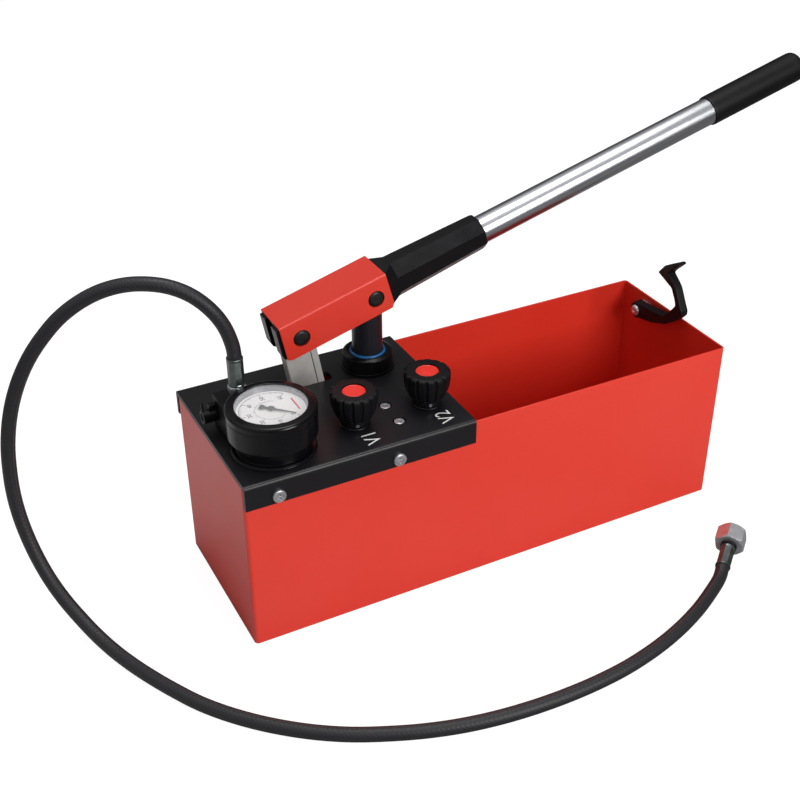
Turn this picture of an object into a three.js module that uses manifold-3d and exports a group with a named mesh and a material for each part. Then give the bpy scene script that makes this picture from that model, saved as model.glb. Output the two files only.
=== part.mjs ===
// Hydrostatic test pump: a lever works a plunger over an open steel water tank, and a hose
// leads the pressed water away past two shut-off valves and a pressure gauge.
// Millimetres. X runs along the tank to its open end, Y to the back, Z up.
// The origin is the middle of the tank's underside.

import * as THREE from 'three';
import { mergeVertices } from 'three/addons/utils/BufferGeometryUtils.js';
import { ConvexGeometry } from 'three/addons/geometries/ConvexGeometry.js';
import Module from 'manifold-3d';

const wasm = await Module();
wasm.setup();

// Fits and drawing fineness
const seatGap = 0.3;
const cutOverrun = 4;
const weldTolerance = 0.0001;
const fineSides = 28;
const roundSides = 20;
const smallSides = 10;
const arcSteps = 3;

// Tank: folded sheet, open at the top
const tankLength = 522;
const tankWidth = 170;
const tankHeight = 178.5;
const tankSheet = 2;
const tankCorner = 4;

// Cover plate over the left part of the tank, folded down over the front and rear walls
const coverLength = 228.5;
const coverSheet = 4.4;
const coverFlange = 25;
const coverBend = 5;
const flangeScrewFromEnd = 31;
const flangeScrewSpacing = 117.4;
const flangeScrewDrop = 17;
const flangeScrewRadius = 2.5;
const flangeHeadRadius = 6.2;
const flangeHeadHeight = 3.2;
const flangeRecess = 1.6;
const flangeRecessWidth = 1.3;
const flangeRecessReach = 3.4;
const flangeScrewTip = 7;
const headCrownShare = 0.6;

// Rows of the top: gauge and valves in front, plunger, lever and link behind
const frontRowInset = 42.8;
const rearRowInset = 38.5;
const gaugeFromEnd = 47;
const gaugeToValve = 80;
const valveSpacing = 75;
const plungerFromEdge = 45.2;

// Valve block under the cover
const valveBlockEndWall = 18;
const valveBlockWidth = 48;
const valveBlockHeight = 30;
const valveBlockOverhang = 19;
const galleryRadius = 3;
const galleryDrop = 21;
const blockScrewFromValve = 36.6;
const blockScrewSpread = 29.1;
const blockScrewRadius = 3;
const blockScrewLength = 22;
const blockHeadRadius = 4.9;
const blockHeadHeight = 2.6;
const blockSocketRadius = 2.4;
const blockSocketDepth = 1.6;
const blockSinkRadius = 6.3;
const blockSinkDepth = 3.2;

// Needle valves: bonnet, spindle and fluted knob
const bonnetRadius = 14.5;
const bonnetHeight = 2.4;
const bonnetStubRadius = 9;
const bonnetStubLength = 12;
const spindleRadius = 4;
const spindleTipLength = 4;
const spindleTipRadius = 1.6;
const knobBottom = 3.4;
const knobHeight = 33;
const knobTopRadius = 22;
const knobBottomRadius = 17.3;
const knobHubRadius = 14;
const knobHubHeight = 7.4;
const knobCrown = 3.6;
const knobFlutes = 15;
const knobFluteDepth = 1.8;
const knobFluteEdgeShares = [0.3, 0.7];
const knobSwellShare = 0.64;
const knobSwellHeightShare = 0.3;
const capRadius = 10.8;
const capThickness = 1.8;
const capRecess = 1.2;
const spindleHoldDepth = 6;
const grubRadius = 1.7;
const grubHeight = 2.4;
const grubTurn = -13.5;

// Pressure gauge
const gaugeRadius = 41.2;
const gaugeCaseRadius = 40.8;
const gaugeTop = 45.9;
const gaugeCaseBottom = 15.8;
const gaugeFlangeRadius = 39;
const gaugeFlangeHeight = 3;
const gaugeNeckRadius = 34;
const gaugeStemRadius = 7;
const gaugeStemDrop = 10;
const gaugeBore = 2;
const gaugeWall = 4.4;
const gaugeFloor = 3;
const gaugeBezelHeight = 9;
const gaugeOpening = 32.6;
const gaugeLip = 1.2;
const gaugeShoulderWide = 3.4;
const gaugeShoulderDeep = 2.6;
const lensThickness = 2;
const lensSeat = 0.8;
const dialSight = 31;
const dialSightHeight = 2.9;
const dialThickness = 1;
const dialLedge = 1.4;
const pointerThickness = 0.8;
const pointerLength = 24;
const pointerTail = 11;
const pointerWidth = 1.6;
const pointerTailWidth = 3.4;
const pointerHub = 3.4;
const pointerRest = -43.5;
const arborRadius = 1.2;
const movementSize = 15;
const movementHeight = 7;
const socketHeight = 9;
const bourdonRadius = 25;
const bourdonWidth = 4;
const bourdonHeight = 7;
const bourdonSweep = 236;

// Outlet block beside the gauge, its plug and the hose port
const outletEndGap = 13;
const outletWidth = 32;
const outletBack = 59.2;
const outletFront = 20;
const outletHeight = 33.8;
const portFromGaugeX = 13.2;
const portFromGaugeY = 48.7;
const portBore = 4;
const saddleGap = 0.6;
const plugHeight = 14.7;
const plugOffset = 3.5;
const plugRadius = 6.5;
const plugLength = 13;
const plugStubRadius = 4.4;
const plugStubLength = 7;
const plugPinRadius = 1;
const plugPinHeight = 9;
const plugLugWidth = 6;
const plugLugLength = 6.5;
const plugLugHeight = 5.5;
const portHexFlats = 15;
const portHexHeight = 8;
const portStubRadius = 3.7;
const portStubLength = 11;
const nippleRadius = 3.2;
const nippleBore = 1.8;
const elbowRadius = 5;
const elbowDrop = 12;

// Pump: cylinder in the tank, gland above the cover, plunger
const plungerRadius = 15;
const plungerClearance = 0.3;
const plungerChamfer = 1.5;
const cylinderRadius = 23;
const neckRadius = 19.7;
const neckHeight = 10;
const sealRadius = 18.4;
const sealHeight = 9;
const washerRadius = 26;
const washerHeight = 2.7;
const collarRadius = 24.5;
const collarTop = 18.5;
const collarChamferWide = 3.6;
const collarChamferDeep = 1.4;
const wiperRadius = 18.9;
const wiperDepth = 5;
const wiperRise = 1.5;
const boreFloorGap = 4;
const suctionSeat = 8;
const suctionBore = 5;
const ballRadius = 7;
const ballCageRadius = 8.2;
const ballLift = 2;
const strainerRadius = 14;
const strainerFloorGap = 28;
const strainerLength = 41.5;
const strainerWall = 2;
const strainerSlots = 6;
const strainerSlotWidth = 3;
const strainerBand = 5;
const strainerNeckRadius = 10;
const strainerNeckLength = 6;
const pressurePipeRadius = 5.5;
const pressurePipeBore = 3;
const pressurePipeDrop = 14;
const pipeNutFlats = 17;
const pipeNutLength = 9;

// Lever linkage
const leverRest = 15.7;
const leverDown = -19;
const leverUp = 19.3;
const pivotSpan = 80;
const linkLength = 90;
const linkFootOffset = 61.5;
const linkFootDrop = 27;
const linkWidth = 32.4;
const linkThickness = 14;
const linkFootSlide = 5;
const linkFootPlay = 1.6;
const linkGrooveInset = 6.3;
const linkGrooveWidth = 1.6;
const linkGrooveDepth = 0.8;
const pinRadius = 5;
const pinHeadRadius = 8;
const pinHeadHeight = 3.4;
const pinHeadHole = 8.5;
const slotSidePlay = 1.2;
const slotReachLeft = 25.8;
const slotReachRight = 21;
const slotCorner = 5;
const forkSlotPlay = 1.2;
const linkageGap = 0.6;

// Bracket that holds the link's foot below the cover
const bracketPlate = 4;
const bracketLugReach = 12;
const bracketFoot = 14;
const footPinHead = 7.5;
const footPinHeadHeight = 3;

// Lever: sheet channel, forged socket, tube and grip; u runs along it from the plunger pin
const channelWidth = 45;
const channelSheet = 2.5;
const channelTop = 20.5;
const channelBottom = 17.2;
const channelNose = 19.8;
const channelSlant = 2.4;
const channelHeel = 15.8;
const channelNoseChamfer = 4.1;
const channelNoseRise = 2.5;
const channelHeelChamfer = 2.6;
const channelHeelRise = 4.5;
const forkReach = 3;
const forkRound = 6;
const forkBottom = 16;
const forkHub = 16;
const neckLength = 12;
const socketFlats = 38;
const socketEndFlats = 33;
const socketEnd = 127;
const socketChamfer = 3;
const tubeRadius = 14;
const tubeWall = 2;
const tubeDepth = 67;
const gripRadius = 15.5;
const gripStart = 405;
const gripEnd = 521;
const gripRound = 6;
const gripCap = 6;

// Hook that holds the lowered lever
const hookThickness = 9.5;
const hookSpacer = 2;
const hookPivotDrop = 15.5;
const hookPivotInset = 40;
const hookSize = 80;
const hookScrewRadius = 3;
const hookHeadRadius = 6;
const hookHeadHeight = 3;
const hookNutFlats = 10;
const hookNutHeight = 5;
const hookHubRadius = 9;

// Outline of the hook seen along X, from its pivot, as shares of the hook's size
const hookOutlineShares = [
  [0.075, -0.075], [0.0, -0.11], [-0.106, -0.087], [-0.325, -0.037], [-0.612, 0.075],
  [-0.8, 0.212], [-0.912, 0.337], [-0.912, 0.4], [-0.862, 0.475], [-0.812, 0.562],
  [-0.746, 0.675], [-0.687, 0.725], [-0.575, 0.806], [-0.612, 0.856], [-0.775, 1.0175],
  [-0.737, 1.0375], [-0.48, 0.8825], [-0.362, 0.7375], [-0.587, 0.6625], [-0.662, 0.6375],
  [-0.75, 0.5], [-0.775, 0.431], [-0.712, 0.345], [-0.569, 0.1925], [-0.4, 0.1625],
  [-0.1, 0.125], [0.062, 0.1125],
];

// Hose, its ferrules and the swivel nut at its far end
const hoseRadius = 6.6;
const hoseSides = 10;
const hoseSteps = 46;
const ferruleRadius = 7.6;
const portFerruleLength = 28;
const endFerruleLength = 26;
const ferruleSides = 10;
const tailBeadRadius = 8.2;
const tailBeadLength = 2.6;
const tailNeckRadius = 6.8;
const tailHeadRadius = 9;
const tailHeadLength = 3;
const nutFlats = 27;
const nutLength = 19.5;
const nutChamfer = 1.6;
const nutBackWall = 3.6;
const nutSocketRadius = 9.4;

// The hose's centre line, chosen by hand: up from the port, over in an arch, down to the
// floor behind the tank's left end, and along the floor in front of the tank.
const hosePoints = [
  [-227.2, 6.5, 254.3], [-227.2, 6.5, 257.5],
  [-228.2, 6.9, 267.1], [-233.7, 8.6, 286.4], [-243.4, 12.3, 303.3],
  [-256.8, 19.4, 316.8], [-273.0, 27.1, 325.4], [-291.3, 35.0, 329.2], [-309.3, 42.6, 328.6],
  [-327.9, 49.9, 323.5], [-345.6, 56.3, 314.2], [-362.3, 61.9, 301.3], [-377.2, 66.4, 285.2],
  [-391.0, 70.3, 266.6], [-402.2, 73.4, 246.6], [-411.7, 75.0, 224.8], [-418.9, 75.6, 202.0],
  [-424.1, 74.5, 178.5], [-427.1, 71.9, 154.8], [-428.5, 67.8, 131.6], [-427.8, 62.0, 109.2],
  [-425.2, 54.0, 87.6], [-421.1, 43.8, 67.8], [-415.6, 31.6, 50.2], [-408.6, 16.9, 35.4],
  [-400.2, -0.6, 23.4], [-391.3, -20.6, 14.4], [-381.6, -42.6, 8.9], [-371.2, -66.0, 6.8],
  [-360.0, -90.0, 6.7], [-348.0, -113.0, 6.7], [-334.5, -136.0, 6.7], [-318.5, -157.5, 6.7],
  [-300.0, -178.0, 6.7], [-279.5, -197.0, 6.7], [-257.0, -214.5, 6.7], [-231.5, -230.5, 6.7],
  [-204.0, -243.8, 6.7], [-175.5, -255.3, 6.7], [-146.0, -264.4, 6.7], [-115.5, -270.9, 6.7],
  [-83.0, -275.1, 6.7], [-50.0, -277.0, 6.7], [-14.0, -276.6, 6.7], [23.0, -273.2, 6.7],
  [61.0, -265.6, 6.7], [96.0, -255.0, 6.7], [128.0, -241.8, 6.7], [155.0, -227.6, 6.7],
  [176.4, -214.6, 7.2], [186.3, -206.3, 9.7],
];

// Finishes
const paintedRed = { color: 0xd8382b, roughness: 0.4, metalness: 0.0 };
const coverBlack = { color: 0x2e2c30, roughness: 0.42, metalness: 0.1 };
const plasticBlack = { color: 0x1c1b1e, roughness: 0.45, metalness: 0.0 };
const blackSteel = { color: 0x26252a, roughness: 0.4, metalness: 0.4 };
const zinc = { color: 0xc4c4cb, roughness: 0.28, metalness: 1.0 };
const steel = { color: 0x9a9a9e, roughness: 0.35, metalness: 1.0 };
const castGrey = { color: 0x8e8a86, roughness: 0.55, metalness: 0.5 };
const brass = { color: 0xb8923e, roughness: 0.35, metalness: 1.0 };
const sealBlue = { color: 0x2e6c9c, roughness: 0.4, metalness: 0.0 };
const sealBlack = { color: 0x17171a, roughness: 0.6, metalness: 0.0 };
const capRed = { color: 0xe0392f, roughness: 0.3, metalness: 0.0 };
const dialWhite = { color: 0xe8e4e4, roughness: 0.5, metalness: 0.0 };
const clearGlass = { color: 0xf4f6f8, roughness: 0.05, metalness: 0.0 };
const hoseRubber = { color: 0x232323, roughness: 0.6, metalness: 0.0 };

// Heights and places that follow from the sizes above
const tankLeft = -tankLength / 2;
const tankRight = tankLength / 2;
const tankBack = tankWidth / 2;
const coverRight = tankLeft + coverLength;
const coverUnder = tankHeight + seatGap;
const coverTop = coverUnder + coverSheet;
const coverHalfWidth = tankBack + seatGap + coverSheet;
const restOnCover = coverTop + seatGap;
const hangUnderCover = coverUnder - seatGap;
const frontRow = -tankBack + frontRowInset;
const rearRow = tankBack - rearRowInset;
const gaugeX = tankLeft + gaugeFromEnd;
const valveXs = [gaugeX + gaugeToValve, gaugeX + gaugeToValve + valveSpacing];
const plungerX = coverRight - plungerFromEdge;
const galleryZ = coverUnder - galleryDrop;
const portX = gaugeX - portFromGaugeX;
const portY = frontRow + portFromGaugeY;

// The linkage at rest: the link leans so that its eye meets the lever's front pin
const rad = THREE.MathUtils.degToRad;
const footX = plungerX - linkFootOffset;
const footZ = coverTop - linkFootDrop;
const linkLean = (lever) => Math.asin((pivotSpan * Math.cos(lever) - linkFootOffset) / linkLength);
const plungerPinAt = (lever) => footZ + linkLength * Math.cos(linkLean(lever)) + pivotSpan * Math.sin(lever);
const pinZ = plungerPinAt(rad(leverRest));
const pinLowest = plungerPinAt(rad(leverRest + leverDown));
const eyeX = plungerX - pivotSpan * Math.cos(rad(leverRest));
const eyeZ = pinZ - pivotSpan * Math.sin(rad(leverRest));

// The pump hangs down to the strainer, and the plunger reaches down to the bore's floor
const strainerBottom = tankSheet + strainerFloorGap;
const strainerTop = strainerBottom + strainerLength;
const cylinderBottom = strainerTop + seatGap;
const cageFloor = cylinderBottom + suctionSeat;
const ballRest = Math.sqrt(ballRadius ** 2 - suctionBore ** 2);
const boreFloor = cageFloor + ballRest + ballRadius + ballLift;
const plungerBelowPin = pinLowest - boreFloor - boreFloorGap;

// Solids: every shape starts as a closed three.js geometry
function solidOf(geometry) {
  const bare = geometry.clone();
  bare.deleteAttribute('normal');
  bare.deleteAttribute('uv');
  const merged = mergeVertices(bare, weldTolerance);
  const corners = merged.index.array;
  const triangles = [];
  for (let i = 0; i < corners.length; i += 3) {
    const [a, b, c] = [corners[i], corners[i + 1], corners[i + 2]];
    if (a !== b && b !== c && c !== a) triangles.push(a, b, c);
  }
  const vertProperties = new Float32Array(merged.attributes.position.array);
  if (signedVolume(vertProperties, triangles) < 0) triangles.reverse();
  const mesh = new wasm.Mesh({ numProp: 3, vertProperties, triVerts: new Uint32Array(triangles) });
  return new wasm.Manifold(mesh);
}

function signedVolume(points, triangles) {
  const corner = (index) => new THREE.Vector3().fromArray(points, 3 * index);
  let volume = 0;
  for (let i = 0; i < triangles.length; i += 3) {
    const [a, b, c] = [triangles[i], triangles[i + 1], triangles[i + 2]].map(corner);
    volume += a.dot(b.cross(c));
  }
  return volume;
}

const asSolid = (shape) => (shape.isBufferGeometry ? solidOf(shape) : shape);
const cut = (body, ...tools) => tools.reduce((rest, tool) => rest.subtract(asSolid(tool)), asSolid(body));
const fuse = (...bodies) => bodies.map(asSolid).reduce((all, body) => all.add(body));
const common = (body, other) => asSolid(body).intersect(asSolid(other));

function geometryOf(shape) {
  const mesh = asSolid(shape).getMesh();
  const geometry = new THREE.BufferGeometry();
  geometry.setAttribute('position', new THREE.BufferAttribute(new Float32Array(mesh.vertProperties), 3));
  geometry.setIndex(new THREE.BufferAttribute(new Uint32Array(mesh.triVerts), 1));
  geometry.computeVertexNormals();
  return geometry;
}

const pump = new THREE.Group();

function addPiece(name, shape, look, parent = pump) {
  const mesh = new THREE.Mesh(geometryOf(shape), new THREE.MeshStandardMaterial(look));
  mesh.name = name;
  parent.add(mesh);
  return mesh;
}

const at = (x, y, z) => new THREE.Vector3(x, y, z);

// A box between two opposite corners
function box(low, high) {
  const size = new THREE.Vector3().subVectors(high, low);
  const middle = new THREE.Vector3().addVectors(low, high).multiplyScalar(0.5);
  return new THREE.BoxGeometry(size.x, size.y, size.z).translate(middle.x, middle.y, middle.z);
}

// A round bar whose axis runs from one point to another
function bar(radius, from, to, sides = roundSides) {
  const axis = new THREE.Vector3().subVectors(to, from);
  const middle = new THREE.Vector3().addVectors(from, to).multiplyScalar(0.5);
  const turn = new THREE.Quaternion().setFromUnitVectors(at(0, 1, 0), axis.clone().normalize());
  const geometry = new THREE.CylinderGeometry(radius, radius, axis.length(), sides);
  return geometry.applyQuaternion(turn).translate(middle.x, middle.y, middle.z);
}

// An upright bar at one place of the plan
function post(radius, x, y, low, high, sides = roundSides) {
  return bar(radius, at(x, y, low), at(x, y, high), sides);
}

// A turned piece: [radius, height] points turned about an upright axis
function turned(profile, sides = roundSides) {
  const points = profile.map(([radius, height]) => new THREE.Vector2(radius, height));
  return new THREE.LatheGeometry(points, sides).rotateX(Math.PI / 2);
}

// A flat outline drawn in X and Z and given a thickness along Y, centred on Y zero
function sidePlate(shape, thickness) {
  const options = { depth: thickness, bevelEnabled: false, curveSegments: arcSteps };
  const geometry = new THREE.ExtrudeGeometry(shape, options);
  return geometry.translate(0, 0, -thickness / 2).rotateX(Math.PI / 2);
}

// A flat outline drawn in X and Y and raised from one height to another
function flatPlate(shape, low, high) {
  const options = { depth: high - low, bevelEnabled: false, curveSegments: arcSteps };
  return new THREE.ExtrudeGeometry(shape, options).translate(0, 0, low);
}

const outline = (points) => new THREE.Shape(points.map(([x, y]) => new THREE.Vector2(x, y)));

function roundedRectangle(length, width, radius) {
  const [x, y] = [length / 2 - radius, width / 2 - radius];
  const shape = new THREE.Shape();
  shape.absarc(x, y, radius, 0, Math.PI / 2);
  shape.absarc(-x, y, radius, Math.PI / 2, Math.PI);
  shape.absarc(-x, -y, radius, Math.PI, 1.5 * Math.PI);
  shape.absarc(x, -y, radius, 1.5 * Math.PI, 2 * Math.PI);
  return shape;
}

// A slot with round ends between two centres on one line, drawn in its own plane
function obround(left, right, radius) {
  const shape = new THREE.Shape();
  shape.absarc(right, 0, radius, -Math.PI / 2, Math.PI / 2);
  shape.absarc(left, 0, radius, Math.PI / 2, 1.5 * Math.PI);
  return shape;
}

// A regular prism along Z, sized by the distance between opposite flats
function prism(flats, sides, low, high) {
  const corner = flats / 2 / Math.cos(Math.PI / sides);
  const geometry = new THREE.CylinderGeometry(corner, corner, high - low, sides);
  return geometry.rotateX(Math.PI / 2).translate(0, 0, (low + high) / 2);
}

// Tank with the holes for the cover's screws and the hook
const flangeScrewXs = [0, 1].map((step) => tankLeft + flangeScrewFromEnd + step * flangeScrewSpacing);
const flangeScrewZ = coverTop - flangeScrewDrop;
const hookPivot = at(tankRight - tankSheet, tankBack - hookPivotInset, tankHeight - hookPivotDrop);

function makeTank() {
  const shell = flatPlate(roundedRectangle(tankLength, tankWidth, tankCorner), 0, tankHeight);
  const [innerLength, innerWidth] = [tankLength - 2 * tankSheet, tankWidth - 2 * tankSheet];
  const inner = roundedRectangle(innerLength, innerWidth, tankCorner - tankSheet);
  const walls = cut(shell, flatPlate(inner, tankSheet, tankHeight + cutOverrun));
  const bores = flangeScrewXs.map((x) => bar(
    flangeScrewRadius + seatGap,
    at(x, -tankBack - cutOverrun, flangeScrewZ),
    at(x, tankBack + cutOverrun, flangeScrewZ),
    smallSides,
  ));
  const hookHole = bar(
    hookScrewRadius + seatGap,
    at(tankRight - tankSheet - cutOverrun, hookPivot.y, hookPivot.z),
    at(tankRight + cutOverrun, hookPivot.y, hookPivot.z),
    smallSides,
  );
  addPiece('tank', cut(walls, ...bores, hookHole), paintedRed);
}

// Cover plate with its folded flanges and all holes
const slotHalfWidth = linkThickness / 2 + slotSidePlay;
const slotMiddle = footX + (slotReachRight - slotReachLeft) / 2;
const blockScrewX = valveXs[1] - blockScrewFromValve;
const blockScrewYs = [-1, 1].map((side) => frontRow + side * blockScrewSpread / 2);

function makeCover() {
  const section = new THREE.Shape();
  const [outerY, innerY] = [coverHalfWidth, coverHalfWidth - coverSheet];
  const flangeZ = coverTop - coverFlange;
  const innerBend = coverBend - coverSheet;
  section.moveTo(-outerY, flangeZ);
  section.absarc(-outerY + coverBend, coverTop - coverBend, coverBend, Math.PI, Math.PI / 2, true);
  section.absarc(outerY - coverBend, coverTop - coverBend, coverBend, Math.PI / 2, 0, true);
  section.lineTo(outerY, flangeZ);
  section.lineTo(innerY, flangeZ);
  section.absarc(innerY - innerBend, coverUnder - innerBend, innerBend, 0, Math.PI / 2);
  section.absarc(-innerY + innerBend, coverUnder - innerBend, innerBend, Math.PI / 2, Math.PI);
  section.lineTo(-innerY, flangeZ);
  const options = { depth: coverLength, bevelEnabled: false, curveSegments: arcSteps };
  const plate = new THREE.ExtrudeGeometry(section, options);
  plate.rotateX(Math.PI / 2).rotateZ(Math.PI / 2).translate(tankLeft, 0, 0);
  const through = (radius, x, y) => post(radius, x, y, coverUnder - cutOverrun, coverTop + cutOverrun);
  const slot = roundedRectangle(slotReachLeft + slotReachRight, 2 * slotHalfWidth, slotCorner);
  const sinkFloor = coverTop - blockSinkDepth;
  const cuts = [
    through(neckRadius + seatGap, plungerX, rearRow),
    through(gaugeStemRadius + seatGap, gaugeX, frontRow),
    through(elbowRadius + seatGap, portX, portY),
    ...valveXs.map((x) => through(bonnetStubRadius + seatGap, x, frontRow)),
    ...blockScrewYs.map((y) => through(blockScrewRadius + seatGap, blockScrewX, y)),
    ...blockScrewYs.map((y) => post(blockSinkRadius, blockScrewX, y, sinkFloor, coverTop + cutOverrun)),
    flatPlate(slot, coverUnder - cutOverrun, coverTop + cutOverrun).translate(slotMiddle, rearRow, 0),
  ];
  for (const x of flangeScrewXs) {
    for (const side of [-1, 1]) {
      const from = at(x, side * (coverHalfWidth + cutOverrun), flangeScrewZ);
      const to = at(x, side * (tankBack - cutOverrun), flangeScrewZ);
      cuts.push(bar(flangeScrewRadius + seatGap, from, to, smallSides));
    }
  }
  addPiece('cover_plate', cut(plate, ...cuts), coverBlack);
}

// Cross-recessed screws that form their thread in the tank's wall
function makeFlangeScrew(name, x, side) {
  const length = seatGap + coverSheet + seatGap + tankSheet + flangeScrewTip;
  const head = turned([
    [0, 0], [flangeHeadRadius, 0], [flangeHeadRadius, flangeHeadHeight / 2],
    [flangeHeadRadius * headCrownShare, flangeHeadHeight], [0, flangeHeadHeight],
  ], smallSides);
  const shank = post(flangeScrewRadius, 0, 0, -length, flangeHeadHeight / 2, smallSides);
  const recessFloor = flangeHeadHeight - flangeRecess;
  const recessTop = flangeHeadHeight + cutOverrun;
  const [reach, half] = [flangeRecessReach, flangeRecessWidth / 2];
  const along = box(at(-reach, -half, recessFloor), at(reach, half, recessTop));
  const across = box(at(-half, -reach, recessFloor), at(half, reach, recessTop));
  const screw = addPiece(name, cut(fuse(head, shank), along, across), zinc);
  screw.rotation.x = side > 0 ? -Math.PI / 2 : Math.PI / 2;
  screw.position.set(x, side * (coverHalfWidth + seatGap), flangeScrewZ);
}

// Valve block with its gallery, valve bores and ports
const blockTop = hangUnderCover;
const blockBottom = blockTop - valveBlockHeight;
const bonnetBoreFloor = blockTop - bonnetStubLength - seatGap;

function makeValveBlock() {
  const low = at(tankLeft + valveBlockEndWall, frontRow - valveBlockWidth / 2, blockBottom);
  const high = at(valveXs[1] + valveBlockOverhang, frontRow + valveBlockWidth / 2, blockTop);
  const above = blockTop + cutOverrun;
  const backFace = frontRow + valveBlockWidth / 2 + cutOverrun;
  const galleryOut = high.x + cutOverrun;
  const elbowZ = coverUnder - elbowDrop;
  const pipeZ = coverUnder - pressurePipeDrop;
  const cuts = [
    bar(galleryRadius, at(portX, frontRow, galleryZ), at(galleryOut, frontRow, galleryZ), smallSides),
    post(gaugeStemRadius + seatGap, gaugeX, frontRow, blockTop - gaugeStemDrop, above),
    post(gaugeBore, gaugeX, frontRow, galleryZ, above, smallSides),
    bar(galleryRadius, at(portX, frontRow, elbowZ), at(portX, backFace, elbowZ), smallSides),
    post(galleryRadius, portX, frontRow, galleryZ, elbowZ, smallSides),
    bar(pressurePipeBore, at(plungerX, frontRow, pipeZ), at(plungerX, backFace, pipeZ), smallSides),
    post(galleryRadius, plungerX, frontRow, galleryZ, pipeZ, smallSides),
  ];
  for (const x of valveXs) {
    cuts.push(post(bonnetStubRadius + seatGap, x, frontRow, bonnetBoreFloor, above));
    cuts.push(post(spindleRadius + seatGap, x, frontRow, galleryZ, above));
  }
  for (const y of blockScrewYs) {
    const floor = coverTop - blockScrewLength - cutOverrun;
    cuts.push(post(blockScrewRadius + seatGap, blockScrewX, y, floor, above, smallSides));
  }
  addPiece('valve_block', cut(box(low, high), ...cuts), steel);
}

// Socket screws sunk in the cover
function makeBlockScrew(name, y) {
  const headLow = coverTop - blockSinkDepth + seatGap;
  const headTop = headLow + blockHeadHeight;
  const head = post(blockHeadRadius, blockScrewX, y, headLow, headTop, roundSides);
  const shankLow = headLow - blockScrewLength;
  const shankHigh = headLow + blockHeadHeight / 2;
  const shank = post(blockScrewRadius, blockScrewX, y, shankLow, shankHigh, smallSides);
  const socketFloor = headTop - blockSocketDepth;
  const socket = post(blockSocketRadius, blockScrewX, y, socketFloor, headTop + cutOverrun, 6);
  addPiece(name, cut(fuse(head, shank), socket), zinc);
}

// Needle valve: bonnet, spindle, knob, cap and grub screw
function makeBonnet(name, x) {
  const bore = spindleRadius + seatGap;
  const stubBottom = bonnetBoreFloor + seatGap;
  const shape = turned([
    [bore, stubBottom], [bonnetStubRadius, stubBottom], [bonnetStubRadius, restOnCover],
    [bonnetRadius, restOnCover], [bonnetRadius, restOnCover + bonnetHeight],
    [bore, restOnCover + bonnetHeight], [bore, stubBottom],
  ]);
  addPiece(name, shape.translate(x, frontRow, 0), blackSteel);
}

const knobBase = coverTop + knobBottom;
const knobTop = knobBase + knobHeight;
const capFloor = knobTop - capRecess - capThickness;
const spindleTop = capFloor - spindleHoldDepth;

function makeSpindle(name, x) {
  const bottom = galleryZ + galleryRadius;
  const shape = turned([
    [0, bottom], [spindleTipRadius, bottom], [spindleRadius, bottom + spindleTipLength],
    [spindleRadius, spindleTop], [0, spindleTop],
  ], smallSides);
  addPiece(name, shape.translate(x, frontRow, 0), steel);
}

function flutedOutline() {
  const pitch = 2 * Math.PI / knobFlutes;
  const steps = [[0, knobFluteDepth], ...knobFluteEdgeShares.map((share) => [share, 0])];
  const points = [];
  for (let flute = 0; flute < knobFlutes; flute += 1) {
    for (const [share, depth] of steps) {
      const angle = (flute + share) * pitch;
      const radius = knobTopRadius - depth;
      points.push([radius * Math.cos(angle), radius * Math.sin(angle)]);
    }
  }
  return outline(points);
}

function makeKnob(number, x) {
  const hubTop = knobBase + knobHubHeight;
  const swell = knobBottomRadius + knobSwellShare * (knobTopRadius - knobBottomRadius);
  const swellZ = hubTop + knobSwellHeightShare * (knobTop - hubTop);
  const body = turned([
    [0, knobBase], [knobHubRadius, knobBase], [knobHubRadius, hubTop],
    [knobBottomRadius, hubTop], [swell, swellZ],
    [knobTopRadius, knobTop - knobCrown], [knobTopRadius - knobCrown, knobTop], [0, knobTop],
  ], fineSides);
  const fluted = common(body, flatPlate(flutedOutline(), knobBase - cutOverrun, knobTop + cutOverrun));
  const capBore = capRadius + seatGap;
  const spindleBore = spindleRadius + seatGap;
  const grubZ = knobBase + grubHeight;
  const grubSpot = (reach) => at(Math.sin(rad(grubTurn)) * reach, -Math.cos(rad(grubTurn)) * reach, grubZ);
  const knob = cut(
    fluted,
    post(capBore, 0, 0, capFloor - seatGap, knobTop + cutOverrun),
    post(spindleBore, 0, 0, knobBase - cutOverrun, capFloor, smallSides),
    bar(grubRadius + seatGap, grubSpot(0), grubSpot(knobTopRadius), smallSides),
  );
  addPiece(`knob_${number}`, knob, plasticBlack).position.set(x, frontRow, 0);
  const cap = post(capRadius, x, frontRow, capFloor, capFloor + capThickness);
  addPiece(`knob_cap_${number}`, cap, capRed);
  const grub = bar(grubRadius, grubSpot(spindleBore), grubSpot(knobHubRadius), smallSides);
  addPiece(`knob_grub_screw_${number}`, grub, zinc).position.set(x, frontRow, 0);
}

// Pressure gauge, from its base up
const caseBottom = coverTop + gaugeCaseBottom;
const rimTop = coverTop + gaugeTop;
const bezelBottom = rimTop - gaugeBezelHeight;
const lensTop = rimTop - gaugeLip - seatGap;
const lensBottom = lensTop - lensThickness;
const coneTop = lensBottom - seatGap;
const coneBottom = coneTop - dialSightHeight;
const dialTop = coneBottom - seatGap;
const dialBottom = dialTop - dialThickness;
const lensRadius = gaugeOpening + lensSeat;
const dialRadius = gaugeCaseRadius - gaugeWall + dialLedge - seatGap;
const socketTop = caseBottom + gaugeFloor + socketHeight;
const pointerLow = dialTop + (coneTop - dialTop - pointerThickness) / 2;

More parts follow.
